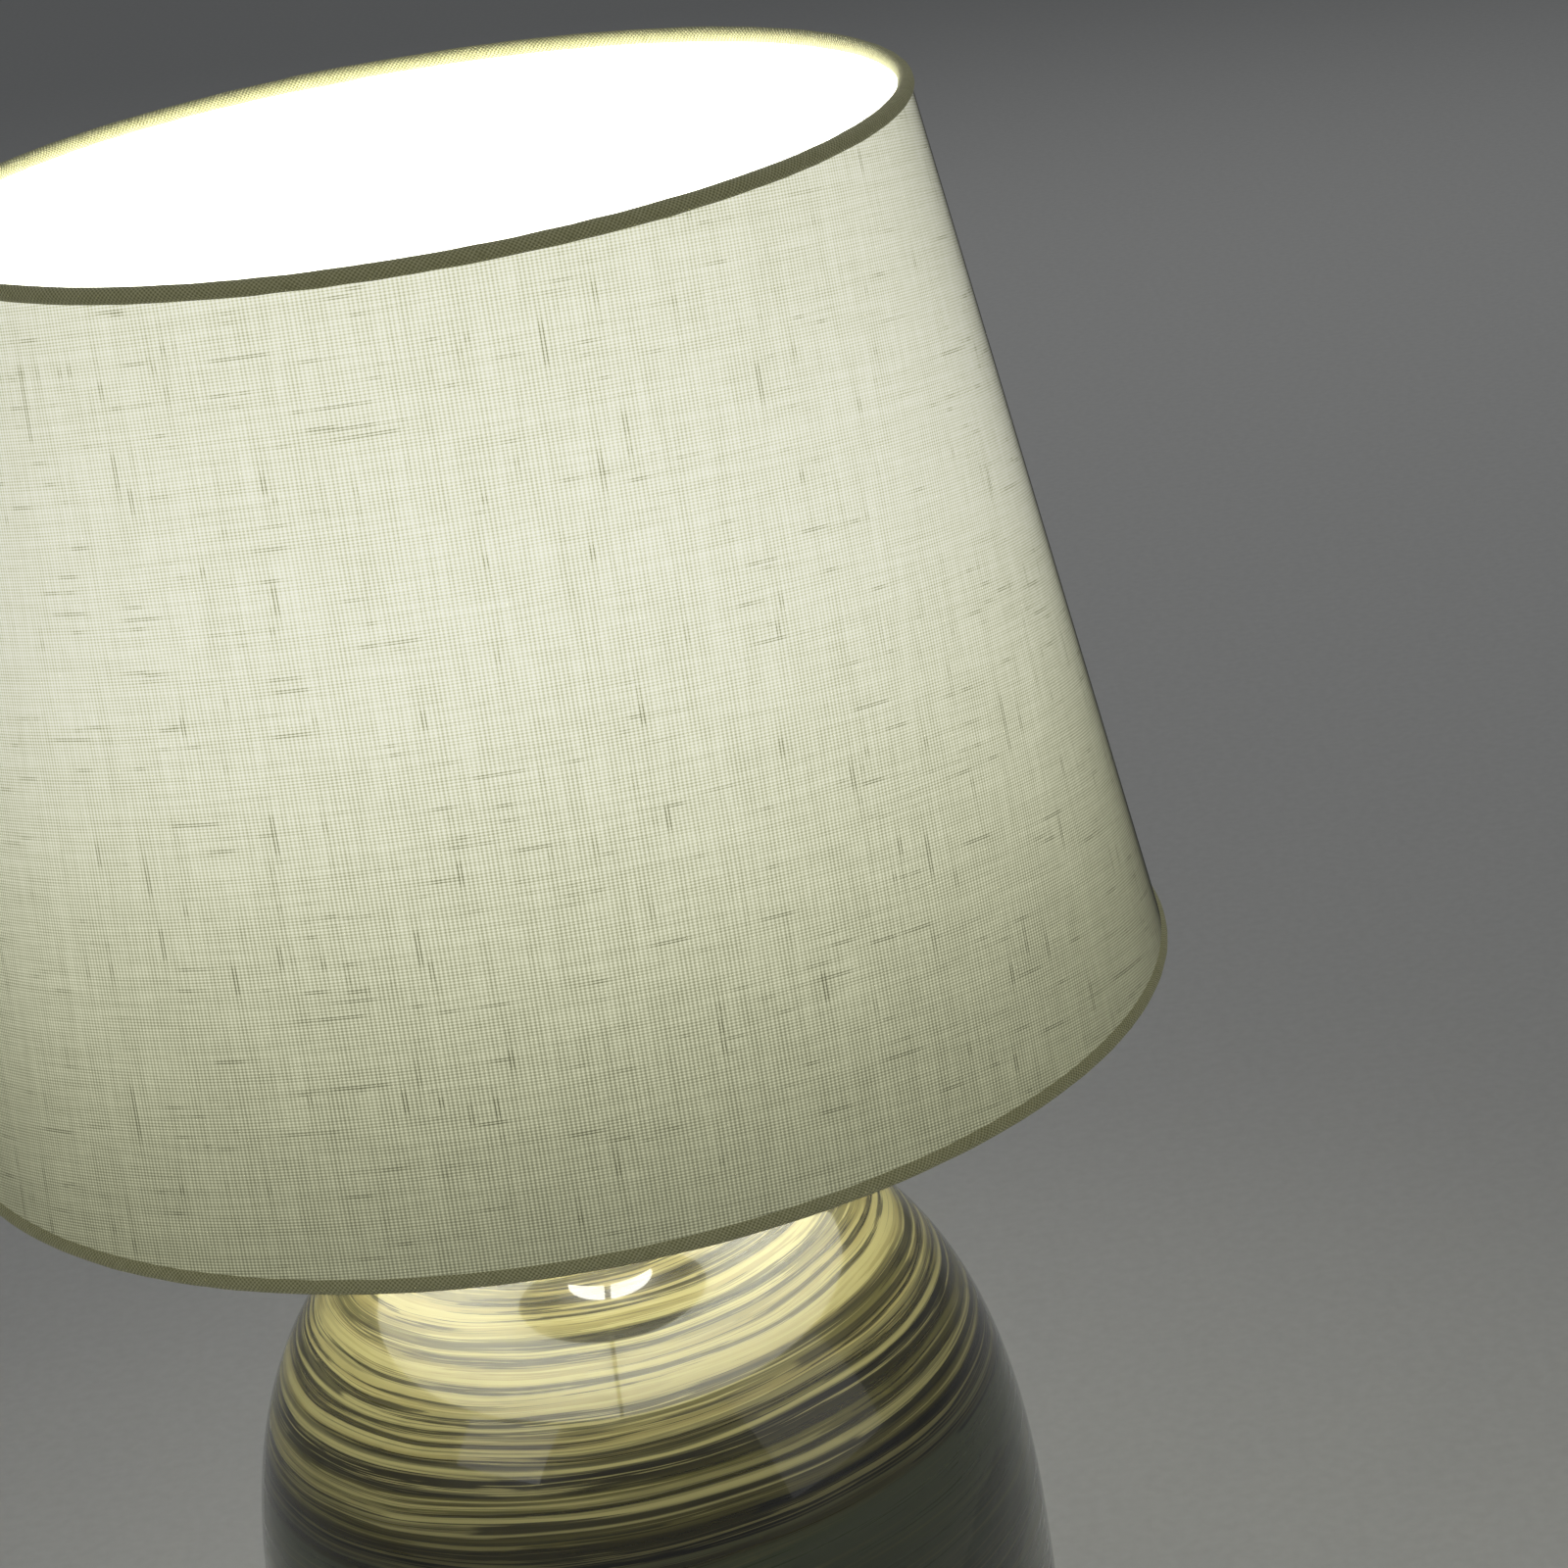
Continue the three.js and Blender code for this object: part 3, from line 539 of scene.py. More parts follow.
brass = Finish("brushed_brass")
brass_rings = brass.noise(turned_place(brass), 1.0, 4, 0.6)
brass_cloud = brass.noise(brass.place(), 70, 4, 0.6)
brass.set(Base_Color=brass.mix(brass_cloud, (0.58, 0.43, 0.20), (0.78, 0.62, 0.33)))
brass.set(Metallic=1.0, Roughness=brass.spread(brass_rings, 0.25, 0.75, 0.2, 0.42))
brass.set(Coat_Weight=0.6, Coat_Roughness=0.12)
brass.bump(brass_rings, 0.00004, 0.6)

washer_low, washer_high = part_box("neck_washer")
washer_outline = [(rod_hole, washer_low.z), (washer_high.x, washer_low.z),
                  (washer_high.x, washer_high.z), (rod_hole, washer_high.z)]
piece_from("neck_gasket", spun("neck_gasket", washer_outline, 96, 0.2 * MM), "neck_washer", "lamp", rubber)

neck_low, neck_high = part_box("neck_cap")
tube_low, tube_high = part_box("neck_tube")
dome_radius = neck_high.x - tube_high.x - MM
dome_z = neck_low.z + 2 * MM
dome_outline = [(rod_hole, neck_low.z), (neck_high.x, neck_low.z)]
for step in range(25):
    turn = step / 24 * pi / 2
    dome_outline.append((neck_high.x - dome_radius * (1 - cos(turn)), dome_z + (neck_high.z - dome_z) * sin(turn)))
dome_outline.append((rod_hole, neck_high.z))
piece_from("neck_dome", spun("neck_dome", dome_outline, 128, 0.25 * MM), "neck_cap", "lamp", brass)

tube_outline = [(rod_hole, tube_low.z), (tube_high.x, tube_low.z), (tube_high.x, tube_high.z), (rod_hole, tube_high.z)]
piece_from("spacer_tube", spun("spacer_tube", tube_outline, 96, 0.4 * MM), "neck_tube", "lamp", brass)


# ---- Lampholder: cap, threaded sleeve, ceramic insert, screw shell and contact ----
# The cap and the sleeve are moulded in warm white plastic, with a rolled screw thread on the sleeve
# for the shade rings. The insert is pressed steatite, and the screw shell in it is rolled brass.

holder = Finish("holder_moulding")
holder_place = holder.place()
holder_grain = holder.noise(holder_place, 1100, 3)
holder_tone = holder.noise(holder_place, 45, 3)
holder.set(Base_Color=holder.mix(holder_tone, (0.72, 0.69, 0.61), (0.80, 0.78, 0.71)))
holder.set(Roughness=holder.spread(holder_grain, 0.3, 0.7, 0.28, 0.42), Coat_Weight=0.2, Coat_Roughness=0.2)
holder.set(Subsurface_Weight=0.1, Subsurface_Scale=0.004)
holder.bump(holder_grain, 0.00005, 0.4)

steatite = Finish("pressed_steatite")
steatite_place = steatite.place()
steatite_speck = steatite.spread(steatite.noise(steatite_place, 1900, 3), 0.62, 0.72)
steatite.set(Base_Color=steatite.mix(steatite_speck, (0.82, 0.80, 0.75), (0.52, 0.48, 0.42)))
steatite.set(Roughness=0.62)
steatite.bump(steatite.noise(steatite_place, 800, 5, 0.65), 0.0002, 0.6)


def threaded(mesh, low, high, near, far, pitch, depth):
    """Rolls a round screw thread into the wall between two heights and two radii."""
    for vert in mesh.vertices:
        radius = hypot(vert.co.x, vert.co.y)
        if near <= radius <= far and low <= vert.co.z <= high:
            fade = min(1.0, (vert.co.z - low) / pitch, (high - vert.co.z) / pitch)
            turn = atan2(vert.co.y, vert.co.x)
            wave = cos(tau * vert.co.z / pitch - turn)
            scale = (radius + depth * fade * (wave - 1) / 2) / radius
            vert.co.x *= scale
            vert.co.y *= scale
    mesh.update()


def wall_points(radius, low, high, rows):
    """Points up a straight wall, close enough together to carry a thread."""
    return [(radius, low + (high - low) * row / rows) for row in range(rows + 1)]


cap_low, cap_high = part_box("holder_cap")
skirt = cap_high.x
holder_wall = 1.5 * MM
collar = 10.5 * MM
collar_top, flare_top = cap_low.z + 4 * MM, cap_low.z + 17.5 * MM
holder_outline = [(rod_hole, cap_low.z), (collar, cap_low.z), (collar, collar_top - 0.5 * MM)]
for step in range(17):
    share = step / 16
    swell = (1 - cos(pi * share)) / 2
    holder_outline.append((collar + (skirt - collar) * swell, collar_top + (flare_top - collar_top) * share))
holder_outline += [(skirt, cap_high.z - 6 * MM), (skirt - 0.5 * MM, cap_high.z - 5.4 * MM),
                   (skirt - 0.5 * MM, cap_high.z - 4.6 * MM), (skirt, cap_high.z - 4 * MM),
                   (skirt, cap_high.z), (skirt - holder_wall, cap_high.z)]
for step in range(16, -1, -1):
    share = step / 16
    swell = (1 - cos(pi * share)) / 2
    holder_outline.append((collar + (skirt - collar) * swell - holder_wall,
                           collar_top + (flare_top - collar_top) * share))
holder_outline += [(collar - holder_wall, cap_low.z + holder_wall), (rod_hole, cap_low.z + holder_wall)]
holder_cap = piece_from("lampholder_cap", spun("lampholder_cap", holder_outline, 128), "holder_cap", "lamp",
                        holder)
bar_low, bar_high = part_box("switch_bar")
bar_z = (bar_low.z + bar_high.z) / 2
bar_radius = (bar_high.z - bar_low.z) / 2
bar_line = Matrix.Translation((0, 0, bar_z)) @ Matrix.Rotation(pi / 2, 4, "Y")
drilled(holder_cap, bar_radius + 0.3 * MM, 90 * MM, bar_line)

sleeve_low, sleeve_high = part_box("holder_sleeve")
sleeve_bore, sleeve_radius = 18.5 * MM, 20 * MM
flange_top = sleeve_low.z + 1.7 * MM
sleeve_outline = [(sleeve_bore, sleeve_low.z), (skirt, sleeve_low.z), (skirt, flange_top),
                  *wall_points(sleeve_radius, flange_top, sleeve_high.z, 120), (sleeve_bore, sleeve_high.z)]
sleeve_mesh = spun("threaded_sleeve", sleeve_outline, 128)
threaded(sleeve_mesh, flange_top + MM, sleeve_high.z, 19.5 * MM, 20.5 * MM, 2.5 * MM, 0.9 * MM)
piece_from("threaded_sleeve", sleeve_mesh, "holder_sleeve", "lamp", holder)

insert_low, insert_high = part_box("holder_insert")
shell_low, shell_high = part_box("screw_shell")
socket_floor = insert_low.z + 7.4 * MM
socket_radius = shell_high.x + 0.3 * MM
insert_outline = [(1.2 * MM, insert_low.z), (insert_high.x, insert_low.z), (insert_high.x, insert_high.z),
                  (socket_radius, insert_high.z), (socket_radius, socket_floor), (1.2 * MM, socket_floor)]
piece_from("steatite_insert", spun("steatite_insert", insert_outline, 96, 0.5 * MM), "holder_insert", "lamp",
           steatite)

shell_outer = shell_high.x
shell_inner = shell_outer - 0.6 * MM
shell_outline = [*wall_points(shell_outer, shell_low.z, shell_high.z, 90),
                 *reversed(wall_points(shell_inner, shell_low.z, shell_high.z, 90))]
shell_mesh = spun("rolled_screw_shell", shell_outline, 96)
for vert in shell_mesh.vertices:
    radius = hypot(vert.co.x, vert.co.y)
    wave = 0.14 * MM * cos(tau * vert.co.z / (3.6 * MM) - atan2(vert.co.y, vert.co.x))
    vert.co.x *= 1 + wave / radius
    vert.co.y *= 1 + wave / radius
piece_from("rolled_screw_shell", shell_mesh, "screw_shell", "lamp", brass)
refinish("centre_contact", brass)


# ---- Switch: the block under the insert and the bar pushed through it ----
# A black phenolic block, with a warm white bar that slides through the lampholder from side to side.

phenolic = Finish("black_phenolic")
phenolic_place = phenolic.place()
phenolic_grain = phenolic.noise(phenolic_place, 1300, 4, 0.6)
phenolic.set(Base_Color=phenolic.mix(phenolic_grain, (0.010, 0.010, 0.011), (0.028, 0.026, 0.025)))
phenolic.set(Roughness=phenolic.spread(phenolic_grain, 0.3, 0.7, 0.22, 0.45))
phenolic.bump(phenolic_grain, 0.00006, 0.4)
refinish("switch_block", phenolic)

bar_bm = bmesh.new()
bmesh.ops.create_cone(bar_bm, cap_ends=True, segments=64, radius1=bar_radius, radius2=bar_radius,
                      depth=bar_high.x - bar_low.x, matrix=Matrix.Translation(((bar_low.x + bar_high.x) / 2, 0, 0))
                      @ bar_line)
bar_rims = [edge for edge in bar_bm.edges if edge.calc_face_angle() > radians(60)]
bmesh.ops.bevel(bar_bm, geom=bar_rims, offset=1.1 * MM, segments=6, profile=0.5, affect="EDGES", material=-1)
piece_from("push_bar", mesh_from(bar_bm, "push_bar"), "switch_bar", "switch", holder)


# ---- Shade rings ----
# Two moulded rings that screw along the sleeve and hold the shade's fitter between them. The upper
# one is deeper, and both have grip ribs round the outside.

def grip_ring(name, node, body):
    low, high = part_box(node)
    bore = sleeve_radius + 0.3 * MM
    outline = [*wall_points(high.x, low.z, high.z, 8), *reversed(wall_points(bore, low.z, high.z, 24))]
    mesh = spun(name, outline, 384, 0.3 * MM)
    for vert in mesh.vertices:
        radius = hypot(vert.co.x, vert.co.y)
        if radius > high.x - 0.1 * MM:
            rib = (1 + cos(48 * atan2(vert.co.y, vert.co.x))) / 2
            vert.co.x *= 1 - 0.45 * MM * rib ** 2 / radius
            vert.co.y *= 1 - 0.45 * MM * rib ** 2 / radius
    piece_from(name, mesh, node, body, holder)


grip_ring("lower_grip_ring", "lower_shade_ring", "lamp")
grip_ring("upper_grip_ring", "upper_shade_ring", "clamp_ring")


# ---- Bulb ----
# An opal envelope cemented in a rolled aluminium screw cap, with a black glass insulator and a
# soldered tip. The envelope glows all over, and a little less at the neck, as the light source
# behind it stands in the round part.

alloy = Finish("rolled_cap_metal")
alloy_rings = alloy.noise(turned_place(alloy, 5000.0, 4.0), 1.0, 3)
alloy_cloud = alloy.noise(alloy.place(), 120, 4, 0.6)
alloy.set(Base_Color=alloy.mix(alloy_cloud, (0.62, 0.62, 0.61), (0.78, 0.78, 0.76)), Metallic=1.0)
alloy.set(Roughness=alloy.spread(alloy_rings, 0.3, 0.7, 0.24, 0.4))
alloy.bump(alloy_rings, 0.00004, 0.5)

opal = Finish("lit_opal_glass")
opal_place = opal.place()
opal_low, opal_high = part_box("bulb_glass")
opal_rise = opal.spread(opal.add("SeparateXYZ", {"Vector": opal_place}).outputs["Z"], opal_low.z, opal_high.z)
opal_coat = opal.noise(opal_place, 220, 3)
opal_glow = opal.ramp(opal_rise, [(0.0, (0.25, 0.24, 0.20)), (0.35, (0.75, 0.73, 0.65)), (0.65, (1, 0.98, 0.90)),
                                  (1.0, (0.92, 0.90, 0.83))])
opal_even = opal.spread(opal_coat, 0, 1, 0.93, 1.0)
opal.set(Emission_Color=opal.mix(opal_even, (0, 0, 0), opal_glow), Emission_Strength=20.0)
opal.set(Base_Color=opal.mix(opal_coat, (0.84, 0.83, 0.80), (0.90, 0.89, 0.87)))
opal.set(Roughness=0.12, Coat_Weight=0.5, Coat_Roughness=0.03)
opal.bump(opal_coat, 0.00005, 0.2)

bulb_radius = opal_high.x
bulb_cap_low, bulb_cap_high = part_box("bulb_screw_cap")
glass_neck = bulb_cap_high.x - MM
globe_z = opal_high.z - bulb_radius


def envelope(inset):
    """The glass outline from the neck up to the pole, a set distance inside the outer face."""
    neck, globe = glass_neck - inset, bulb_radius - inset
    flare_low = bulb_cap_high.z + 0.3 * MM
    points = [(neck, opal_low.z)]
    for step in range(32):
        share = step / 32
        points.append((neck + (globe - neck) * sin(share * pi / 2) ** 1.4, flare_low + (globe_z - flare_low) * share))
    for step in range(25):
        turn = step / 24 * pi / 2
        points.append((globe * cos(turn) if step < 24 else 0.0, globe_z + globe * sin(turn)))
    return points


glass_outline = [*reversed(envelope(MM)), *envelope(0)]
piece_from("opal_envelope", spun("opal_envelope", glass_outline, 128), "bulb_glass", "bulb", opal)

light_plate = Finish("light_plate_coating")
plate_place = light_plate.place()
light_plate.set(Base_Color=light_plate.mix(light_plate.noise(plate_place, 300, 3), (0.80, 0.79, 0.75), (0.9, 0.9, 0.87)))
light_plate.set(Roughness=0.5)
light_plate.bump(light_plate.noise(plate_place, 900, 2), 0.00005, 0.4)
refinish("bulb_light_plate", light_plate)

throat = bulb_cap_high.x - 2.7 * MM
lip_z = bulb_cap_low.z + 2.7 * MM
cap_outline = [(throat - 0.7 * MM, bulb_cap_low.z), (throat, bulb_cap_low.z),
               *wall_points(bulb_cap_high.x, lip_z, bulb_cap_high.z, 100),
               (bulb_cap_high.x - 0.7 * MM, bulb_cap_high.z), (bulb_cap_high.x - 0.7 * MM, lip_z + 0.7 * MM),
               (throat - 0.7 * MM, bulb_cap_low.z + 0.7 * MM)]
cap_mesh = spun("rolled_screw_cap", cap_outline, 128)
threaded(cap_mesh, lip_z, bulb_cap_high.z - 5 * MM, bulb_cap_high.x - 0.2 * MM, bulb_cap_high.x + MM, 3.6 * MM,
         0.65 * MM)
piece_from("rolled_screw_cap", cap_mesh, "bulb_screw_cap", "bulb", alloy)

insulator_low, insulator_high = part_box("bulb_insulator")
tip_low, tip_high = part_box("bulb_tip")
insulator_outline = [(0.0, insulator_low.z), (tip_high.x, insulator_low.z)]
for step in range(1, 13):
    share = step / 12
    insulator_outline.append((tip_high.x + (insulator_high.x - tip_high.x) * share,
                              insulator_low.z + (insulator_high.z - insulator_low.z) * share ** 1.25))
insulator_outline.append((0.0, insulator_high.z))
piece_from("cap_insulator", spun("cap_insulator", insulator_outline, 96), "bulb_insulator", "bulb", phenolic)

tip_outline = [(0.0, tip_low.z), (tip_high.x * 0.45, tip_low.z), (tip_high.x * 0.7, tip_low.z + 0.4 * MM),
               (tip_high.x, tip_high.z - 0.5 * MM), (tip_high.x, tip_high.z), (0.0, tip_high.z)]
piece_from("solder_tip", spun("solder_tip", tip_outline, 64, 0.15 * MM), "bulb_tip", "bulb_foot", alloy)


# ---- Shade linen ----
# Plain-weave slub linen, cut as a ring sector and laminated over the liner. Its threads run
# straight in the flat cut, so they fan a little round the cone, and the lap is at the back.

bottom_radius = shade_foot[1].x - 2.1 * MM
top_radius = shade_head[1].x - 2.1 * MM
shade_rise = shade_top_z - shade_bottom_z
slant_length = hypot(bottom_radius - top_radius, shade_rise)
slant_sine = (bottom_radius - top_radius) / slant_length
slant_cosine = shade_rise / slant_length
edge_radius = 2.1 * MM


def shade_wall(name, near, far, rows=40, steps=288):
    """A thin conical wall between two offsets from the line that joins the two ring wires."""
    outline = []
    for offset, order in ((far, range(rows + 1)), (near, range(rows, -1, -1))):
        for row in order:
            along = edge_radius * 0.6 + (slant_length - 1.2 * edge_radius) * row / rows
            radius = bottom_radius - along * slant_sine + offset * slant_cosine
            outline.append((radius, shade_bottom_z + along * slant_cosine + offset * slant_sine))
    return spun(name, outline, steps)


linen_mesh = shade_wall("linen_cover", 0.15 * MM, 0.95 * MM)
# The cut's flat pattern, in metres, so that the weave keeps its real size.
pattern = linen_mesh.uv_layers.new(name="flat_cut")
for face in linen_mesh.polygons:
    middle = atan2(face.center.x, -face.center.y)
    for loop in face.loop_indices:
        spot = linen_mesh.vertices[linen_mesh.loops[loop].vertex_index].co
        turn = atan2(spot.x, -spot.y)
        if turn - middle > pi:
            turn -= tau
        elif middle - turn > pi:
            turn += tau
        reach = hypot(spot.x, spot.y) / slant_sine
        swing = turn * slant_sine
        pattern.data[loop].uv = (reach * sin(swing), (bottom_radius / slant_sine) - reach * cos(swing))
linen_cover = new_object("linen_cover", linen_mesh, "shade")


# Far enough apart in the noise that neighbouring threads have nothing in common.
thread_stride = 3.713


def weave(finish, flat_cut, across_pitch, up_pitch):
    """Over-and-under threads with slubs. Gives how much light gets through, and the relief."""
    wander = finish.noise(flat_cut, 12, 2)
    axes = finish.add("SeparateXYZ", {"Vector": flat_cut}).outputs
    wander_off = finish.spread(wander, 0, 1, -0.4 * MM, 0.4 * MM)
    warp_at = finish.math("DIVIDE", finish.math("ADD", axes["X"], wander_off), across_pitch)
    weft_at = finish.math("DIVIDE", finish.math("ADD", axes["Y"], wander_off), up_pitch)
    warp_wave = finish.math("COSINE", finish.math("MULTIPLY", warp_at, tau))
    weft_wave = finish.math("COSINE", finish.math("MULTIPLY", weft_at, tau))
    warp_body = finish.spread(warp_wave, -1, 1, 0, 1)
    weft_body = finish.spread(weft_wave, -1, 1, 0, 1)
    warp_count = finish.math("MULTIPLY", finish.math("FLOOR", warp_at), thread_stride)
    weft_count = finish.math("MULTIPLY", finish.math("FLOOR", weft_at), thread_stride)
    warp_key = finish.add("CombineXYZ", {"X": warp_count, "Y": finish.math("MULTIPLY", axes["Y"], 38.0)})
    weft_key = finish.add("CombineXYZ", {"X": finish.math("MULTIPLY", axes["X"], 38.0), "Y": weft_count})
    warp_thick = finish.noise(warp_key.outputs["Vector"], 1.0, 3, 0.6)
    weft_thick = finish.noise(weft_key.outputs["Vector"], 1.0, 3, 0.6)
    return warp_body, weft_body, warp_thick, weft_thick, warp_at, weft_at


linen = Finish("slub_linen")
flat_cut = linen.add("UVMap", uv_map="flat_cut").outputs["UV"]
warp_body, weft_body, warp_thick, weft_thick, warp_at, weft_at = weave(linen, flat_cut, 0.98 * MM, 0.68 * MM)
warp_dark = linen.math("MULTIPLY", warp_body, linen.spread(warp_thick, 0.35, 0.72, 0.42, 0.86))
weft_dark = linen.math("MULTIPLY", weft_body, linen.spread(weft_thick, 0.35, 0.72, 0.42, 0.86))
density = linen.math("ADD", warp_dark, weft_dark)
slub_warp = linen.math("MULTIPLY", linen.spread(warp_thick, 0.645, 0.70, 0, 1, True), warp_body)
slub_weft = linen.math("MULTIPLY", linen.spread(weft_thick, 0.63, 0.69, 0, 1, True), weft_body)
density = linen.math("ADD", density, linen.math("MULTIPLY", linen.math("MAXIMUM", slub_warp, slub_weft), 0.6))
fuzz = linen.noise(flat_cut, 2600, 3, 0.6)
density = linen.math("ADD", density, linen.spread(fuzz, 0, 1, -0.14, 0.2))
through = linen.math("POWER", 2.718, linen.math("MULTIPLY", density, -1.4))

# The glow of the lit shade: brightest a little above the middle, dimmer toward both edges.
linen_place = linen.place()
linen_height = linen.add("SeparateXYZ", {"Vector": linen_place}).outputs["Z"]
rise = linen.spread(linen_height, shade_bottom_z, shade_top_z)
glow_stops = [(0.0, 0.18), (0.12, 0.31), (0.2, 0.41), (0.3, 0.59), (0.4, 0.82), (0.5, 1.12), (0.6, 1.4),
              (0.7, 1.51), (0.82, 1.46), (1.0, 1.36)]
glow = linen.ramp(rise, [(place, (level / 2,) * 3) for place, level in glow_stops], "B_SPLINE")
glow_level = linen.math("MULTIPLY", linen.add("RGBToBW", {"Color": glow}).outputs["Val"], 2.0)
glow_level = linen.math("MULTIPLY", glow_level, linen.spread(linen.noise(linen_place, 9, 2), 0.3, 0.7, 0.94, 1.06))
lap = linen.math("MULTIPLY", smooth_band(linen, linen.add("SeparateXYZ", {"Vector": linen_place}).outputs["X"],
                                         -0.006, 0.006, 0.0004),
                 linen.math("GREATER_THAN", linen.add("SeparateXYZ", {"Vector": linen_place}).outputs["Y"], 0.0))
glow_level = linen.math("MULTIPLY", glow_level, linen.spread(lap, 0, 1, 1.0, 0.55))
lit = linen.math("MULTIPLY", linen.math("MULTIPLY", glow_level, through), 3.05)


def shouldered(value, tint):
    """Rolls bright light off softly instead of clipping it."""
    return linen.math("SUBTRACT", 1.0, linen.math("POWER", 2.718, linen.math("MULTIPLY", value, -tint)))


lit_colour = linen.add("CombineColor", {"Red": shouldered(lit, 1.0), "Green": shouldered(lit, 1.02),
                                        "Blue": shouldered(lit, 0.60)}).outputs["Color"]
outside = linen.add("NewGeometry").outputs["Normal"]
linen.set(Emission_Color=lit_colour, Emission_Strength=1.0)
thread_colour = linen.mix(linen.math("MAXIMUM", slub_warp, slub_weft), (0.22, 0.215, 0.13), (0.13, 0.125, 0.06))
linen.set(Base_Color=linen.mix(linen.spread(density, 0.2, 1.6), (0.27, 0.265, 0.19), thread_colour))
linen.set(Roughness=0.9, Sheen_Weight=0.15, Sheen_Roughness=0.6)
linen.set(Coat_Weight=1.0, Coat_IOR=1.0, Coat_Tint=(0.88, 0.88, 0.88, 1))
relief = linen.math("ADD", linen.math("MULTIPLY", warp_body, 0.6), linen.math("MULTIPLY", weft_body, 0.6))
relief = linen.math("ADD", relief, linen.math("MULTIPLY", linen.math("ADD", warp_thick, weft_thick), 0.5))
linen.bump(relief, 0.00025, 0.7)
linen_cover.data.materials.append(linen.material)
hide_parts("shade_linen")


# ---- Shade liner ----
# White styrene film under the linen, which makes the shade stiff and spreads the light.

liner_film = new_object("liner_film", shade_wall("liner_film", -1.15 * MM, -0.15 * MM, 12, 192), "shade")
liner = Finish("styrene_film")
liner_place = liner.place()
liner_cloud = liner.noise(liner_place, 26, 3)
liner.set(Base_Color=liner.mix(liner_cloud, (0.86, 0.85, 0.81), (0.92, 0.91, 0.88)))
liner.set(Roughness=0.55)
liner_rise = liner.spread(liner.add("SeparateXYZ", {"Vector": liner_place}).outputs["Z"], shade_bottom_z, shade_top_z)
# The film carries a painted glow, dimmer toward the bottom, that stands in for the bulb's light falling on its inside.
liner_glow = liner.ramp(liner_rise, [(0.0, (0.7, 0.67, 0.55)), (0.45, (0.94, 0.98, 0.88)), (1.0, (0.94, 0.98, 0.88))])
liner.set(Emission_Color=liner_glow, Emission_Strength=1.5)
liner.bump(liner.noise(liner_place, 900, 2), 0.0001, 0.3)
liner_film.data.materials.append(liner.material)
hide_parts("shade_liner")


# ---- Rolled edges ----
# A bias-cut strip of the same linen, rolled round each ring wire and glued, with a short lap.

def rolled_edge(name, ring_radius, ring_z, node):
    bm = bmesh.new()
    bmesh.ops.create_circle(bm, radius=1.95 * MM, segments=20,
                            matrix=Matrix.Translation((ring_radius, 0, ring_z)) @ Matrix.Rotation(pi / 2, 4, "X"))
    bmesh.ops.spin(bm, geom=bm.verts[:] + bm.edges[:], cent=(0, 0, 0), axis=(0, 0, 1), dvec=(0, 0, 0),
                   angle=tau, steps=360, use_merge=True)
    bmesh.ops.remove_doubles(bm, verts=bm.verts, dist=1e-6)
    for vert in bm.verts:
        turn = atan2(vert.co.x, -vert.co.y)
        spoke = Vector((vert.co.x, vert.co.y, 0)).normalized()
        core = spoke * ring_radius + Vector((0, 0, ring_z))
        swell = 0.05 * noise.noise(Vector((vert.co.x, vert.co.y, vert.co.z)) * 160)
        lap_here = 0.07 if abs(turn - lap_turn) < radians(4) else 0.0
        vert.co = core + (vert.co - core) * (1 + swell + lap_here)
    bmesh.ops.recalc_face_normals(bm, faces=bm.faces)
    mesh = mesh_from(bm, name, 80)
    strip = mesh.uv_layers.new(name="strip")
    for face in mesh.polygons:
        middle = atan2(face.center.x, -face.center.y)
        face_out = hypot(face.center.x, face.center.y) - ring_radius
        face_round = atan2(face.center.z - ring_z, face_out)
        for loop in face.loop_indices:
            spot = mesh.vertices[mesh.loops[loop].vertex_index].co
            turn = atan2(spot.x, -spot.y)
            turn += tau * round((middle - turn) / tau)
            around = atan2(spot.z - ring_z, hypot(spot.x, spot.y) - ring_radius)
            around += tau * round((face_round - around) / tau)
            strip.data[loop].uv = (turn * ring_radius, around * 2 * MM)
    piece = new_object(name, mesh, "shade")
    piece.data.materials.append(edge_cloth.material)
    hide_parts(node)
    return piece


lap_turn = radians(-168)
edge_cloth = Finish("rolled_linen")
strip_uv = edge_cloth.add("UVMap", uv_map="strip").outputs["UV"]
bias = edge_cloth.add("Mapping", {"Vector": strip_uv, "Rotation": (0, 0, radians(40))}).outputs["Vector"]
e_warp, e_weft, e_warp_thick, e_weft_thick, _, _ = weave(edge_cloth, bias, 0.80 * MM, 0.70 * MM)
edge_threads = edge_cloth.math("ADD", edge_cloth.math("MULTIPLY", e_warp, e_warp_thick),
                               edge_cloth.math("MULTIPLY", e_weft, e_weft_thick))
edge_cloth.set(Base_Color=edge_cloth.ramp(edge_threads, [(0.15, (0.20, 0.195, 0.08)), (0.5, (0.48, 0.46, 0.24)),
                                                         (0.85, (0.70, 0.67, 0.40))]))
# A faint painted glow on the rolled edges stands in for the lamp's light coming through them.
edge_cloth.set(Emission_Color=(0.10, 0.10, 0.05, 1), Emission_Strength=0.35)
edge_cloth.set(Roughness=0.95, Sheen_Weight=0.25, Sheen_Roughness=0.5)
edge_cloth.bump(edge_threads, 0.0003, 0.8)
top_edge = rolled_edge("top_rolled_edge", top_radius, shade_top_z, "top_edge_trim")
bottom_edge = rolled_edge("bottom_rolled_edge", bottom_radius, shade_bottom_z, "bottom_edge_trim")


# ---- Ring wires and the fitter ----
# Steel wire bent to a ring at each end of the shade, hidden in the rolled edges. The fitter is a
# stamped ring with three wire arms welded to it and to the bottom wire. All are powder coated white.

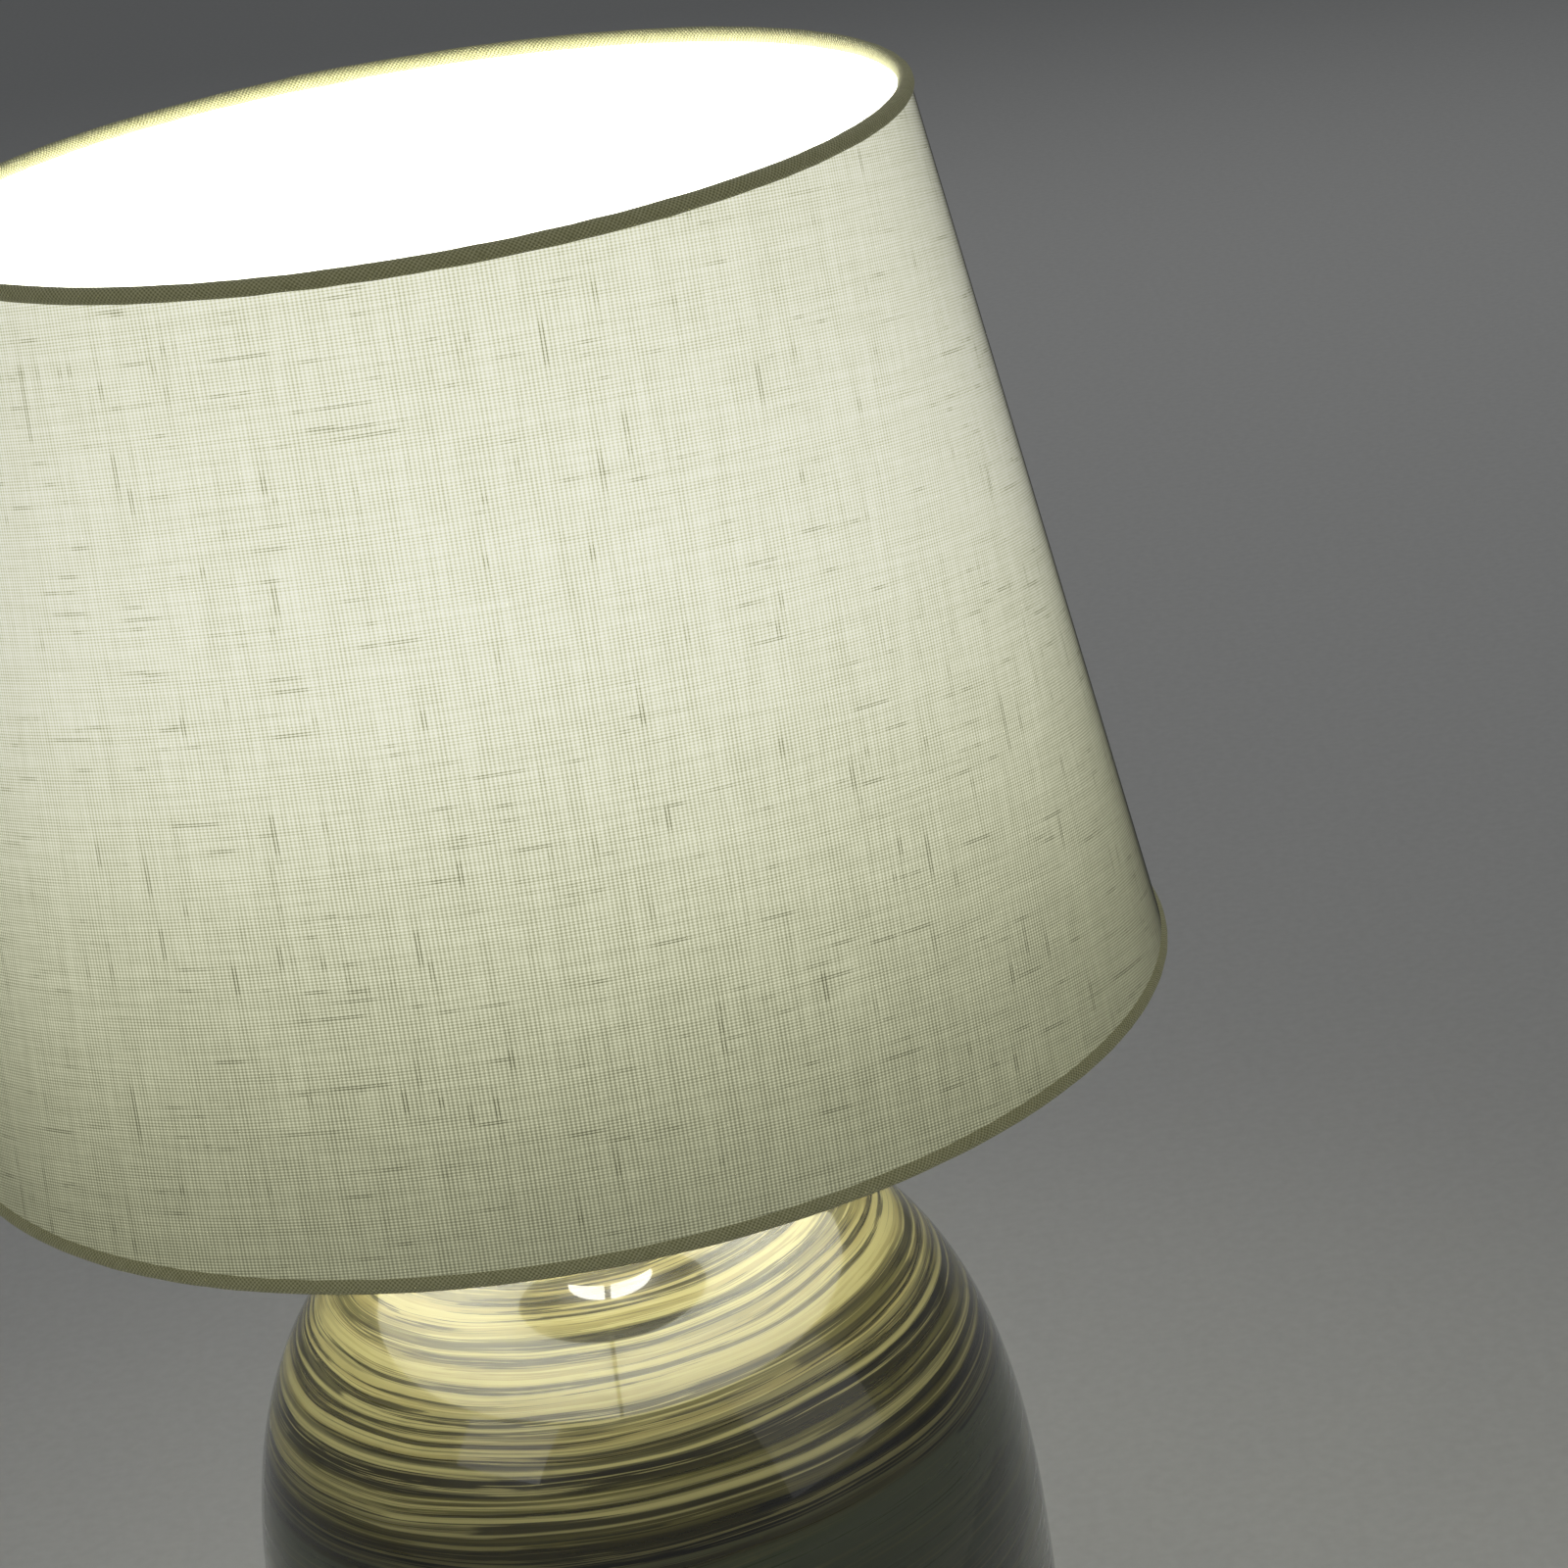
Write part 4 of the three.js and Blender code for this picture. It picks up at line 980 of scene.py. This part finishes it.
enamel = Finish("white_powder_coat")
enamel_place = enamel.place()
enamel_peel = enamel.noise(enamel_place, 700, 3)
enamel_tone = enamel.noise(enamel_place, 35, 3)
enamel.set(Base_Color=enamel.mix(enamel_tone, (0.70, 0.69, 0.65), (0.80, 0.79, 0.76)))
enamel.set(Roughness=enamel.spread(enamel_peel, 0.3, 0.7, 0.32, 0.46))
enamel.bump(enamel_peel, 0.00012, 0.5)

wire_radius = 1.3 * MM
for wire_name, wire_node, ring_radius, ring_z in (("bottom_wire", "bottom_ring_wire", bottom_radius, shade_bottom_z),
                                                 ("top_wire", "top_ring_wire", top_radius, shade_top_z)):
    wire_outline = [(ring_radius + wire_radius * cos(tau * step / 16), ring_z + wire_radius * sin(tau * step / 16))
                    for step in range(16)]
    piece_from(wire_name, spun(wire_name, wire_outline, 192, 0, 80), wire_node, "shade", enamel)

fitter_low, fitter_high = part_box("fitter_ring")
fitter_bore = sleeve_radius + 0.6 * MM
fitter_outline = [(fitter_bore, fitter_low.z), (fitter_high.x, fitter_low.z), (fitter_high.x, fitter_high.z),
                  (fitter_bore, fitter_high.z)]
piece_from("stamped_ring", spun("stamped_ring", fitter_outline, 128, 0.6 * MM), "fitter_ring", "shade", enamel)

arm_start = Vector((fitter_high.x - 0.4 * MM, 0, (fitter_low.z + fitter_high.z) / 2))
arm_end = Vector((bottom_radius - 1.6 * MM, 0, shade_bottom_z))
arm_line = arm_end - arm_start
for arm_number in range(3):
    bm = bmesh.new()
    lean = arm_line.to_track_quat("Z", "Y").to_matrix().to_4x4()
    middle = Matrix.Translation((arm_start + arm_end) / 2) @ lean
    bmesh.ops.create_cone(bm, cap_ends=True, segments=24, radius1=1.5 * MM, radius2=1.5 * MM,
                          depth=arm_line.length, matrix=middle)
    arm_rims = [edge for edge in bm.edges if edge.calc_face_angle() > radians(60)]
    bmesh.ops.bevel(bm, geom=arm_rims, offset=0.5 * MM, segments=3, profile=0.5, affect="EDGES", material=-1)
    bmesh.ops.create_uvsphere(bm, u_segments=16, v_segments=10, radius=MM,
                              matrix=Matrix.Translation(arm_start) @ lean @ Matrix.Diagonal((2.2, 2.2, 2.6, 1)))
    arm_azimuth = -pi / 2 + arm_number * tau / 3
    bmesh.ops.rotate(bm, verts=bm.verts, cent=(0, 0, 0), matrix=Matrix.Rotation(arm_azimuth, 3, "Z"))
    arm_name = f"welded_arm_{arm_number + 1}"
    piece_from(arm_name, mesh_from(bm, arm_name), f"fitter_arm_{arm_number + 1}", "shade", enamel)
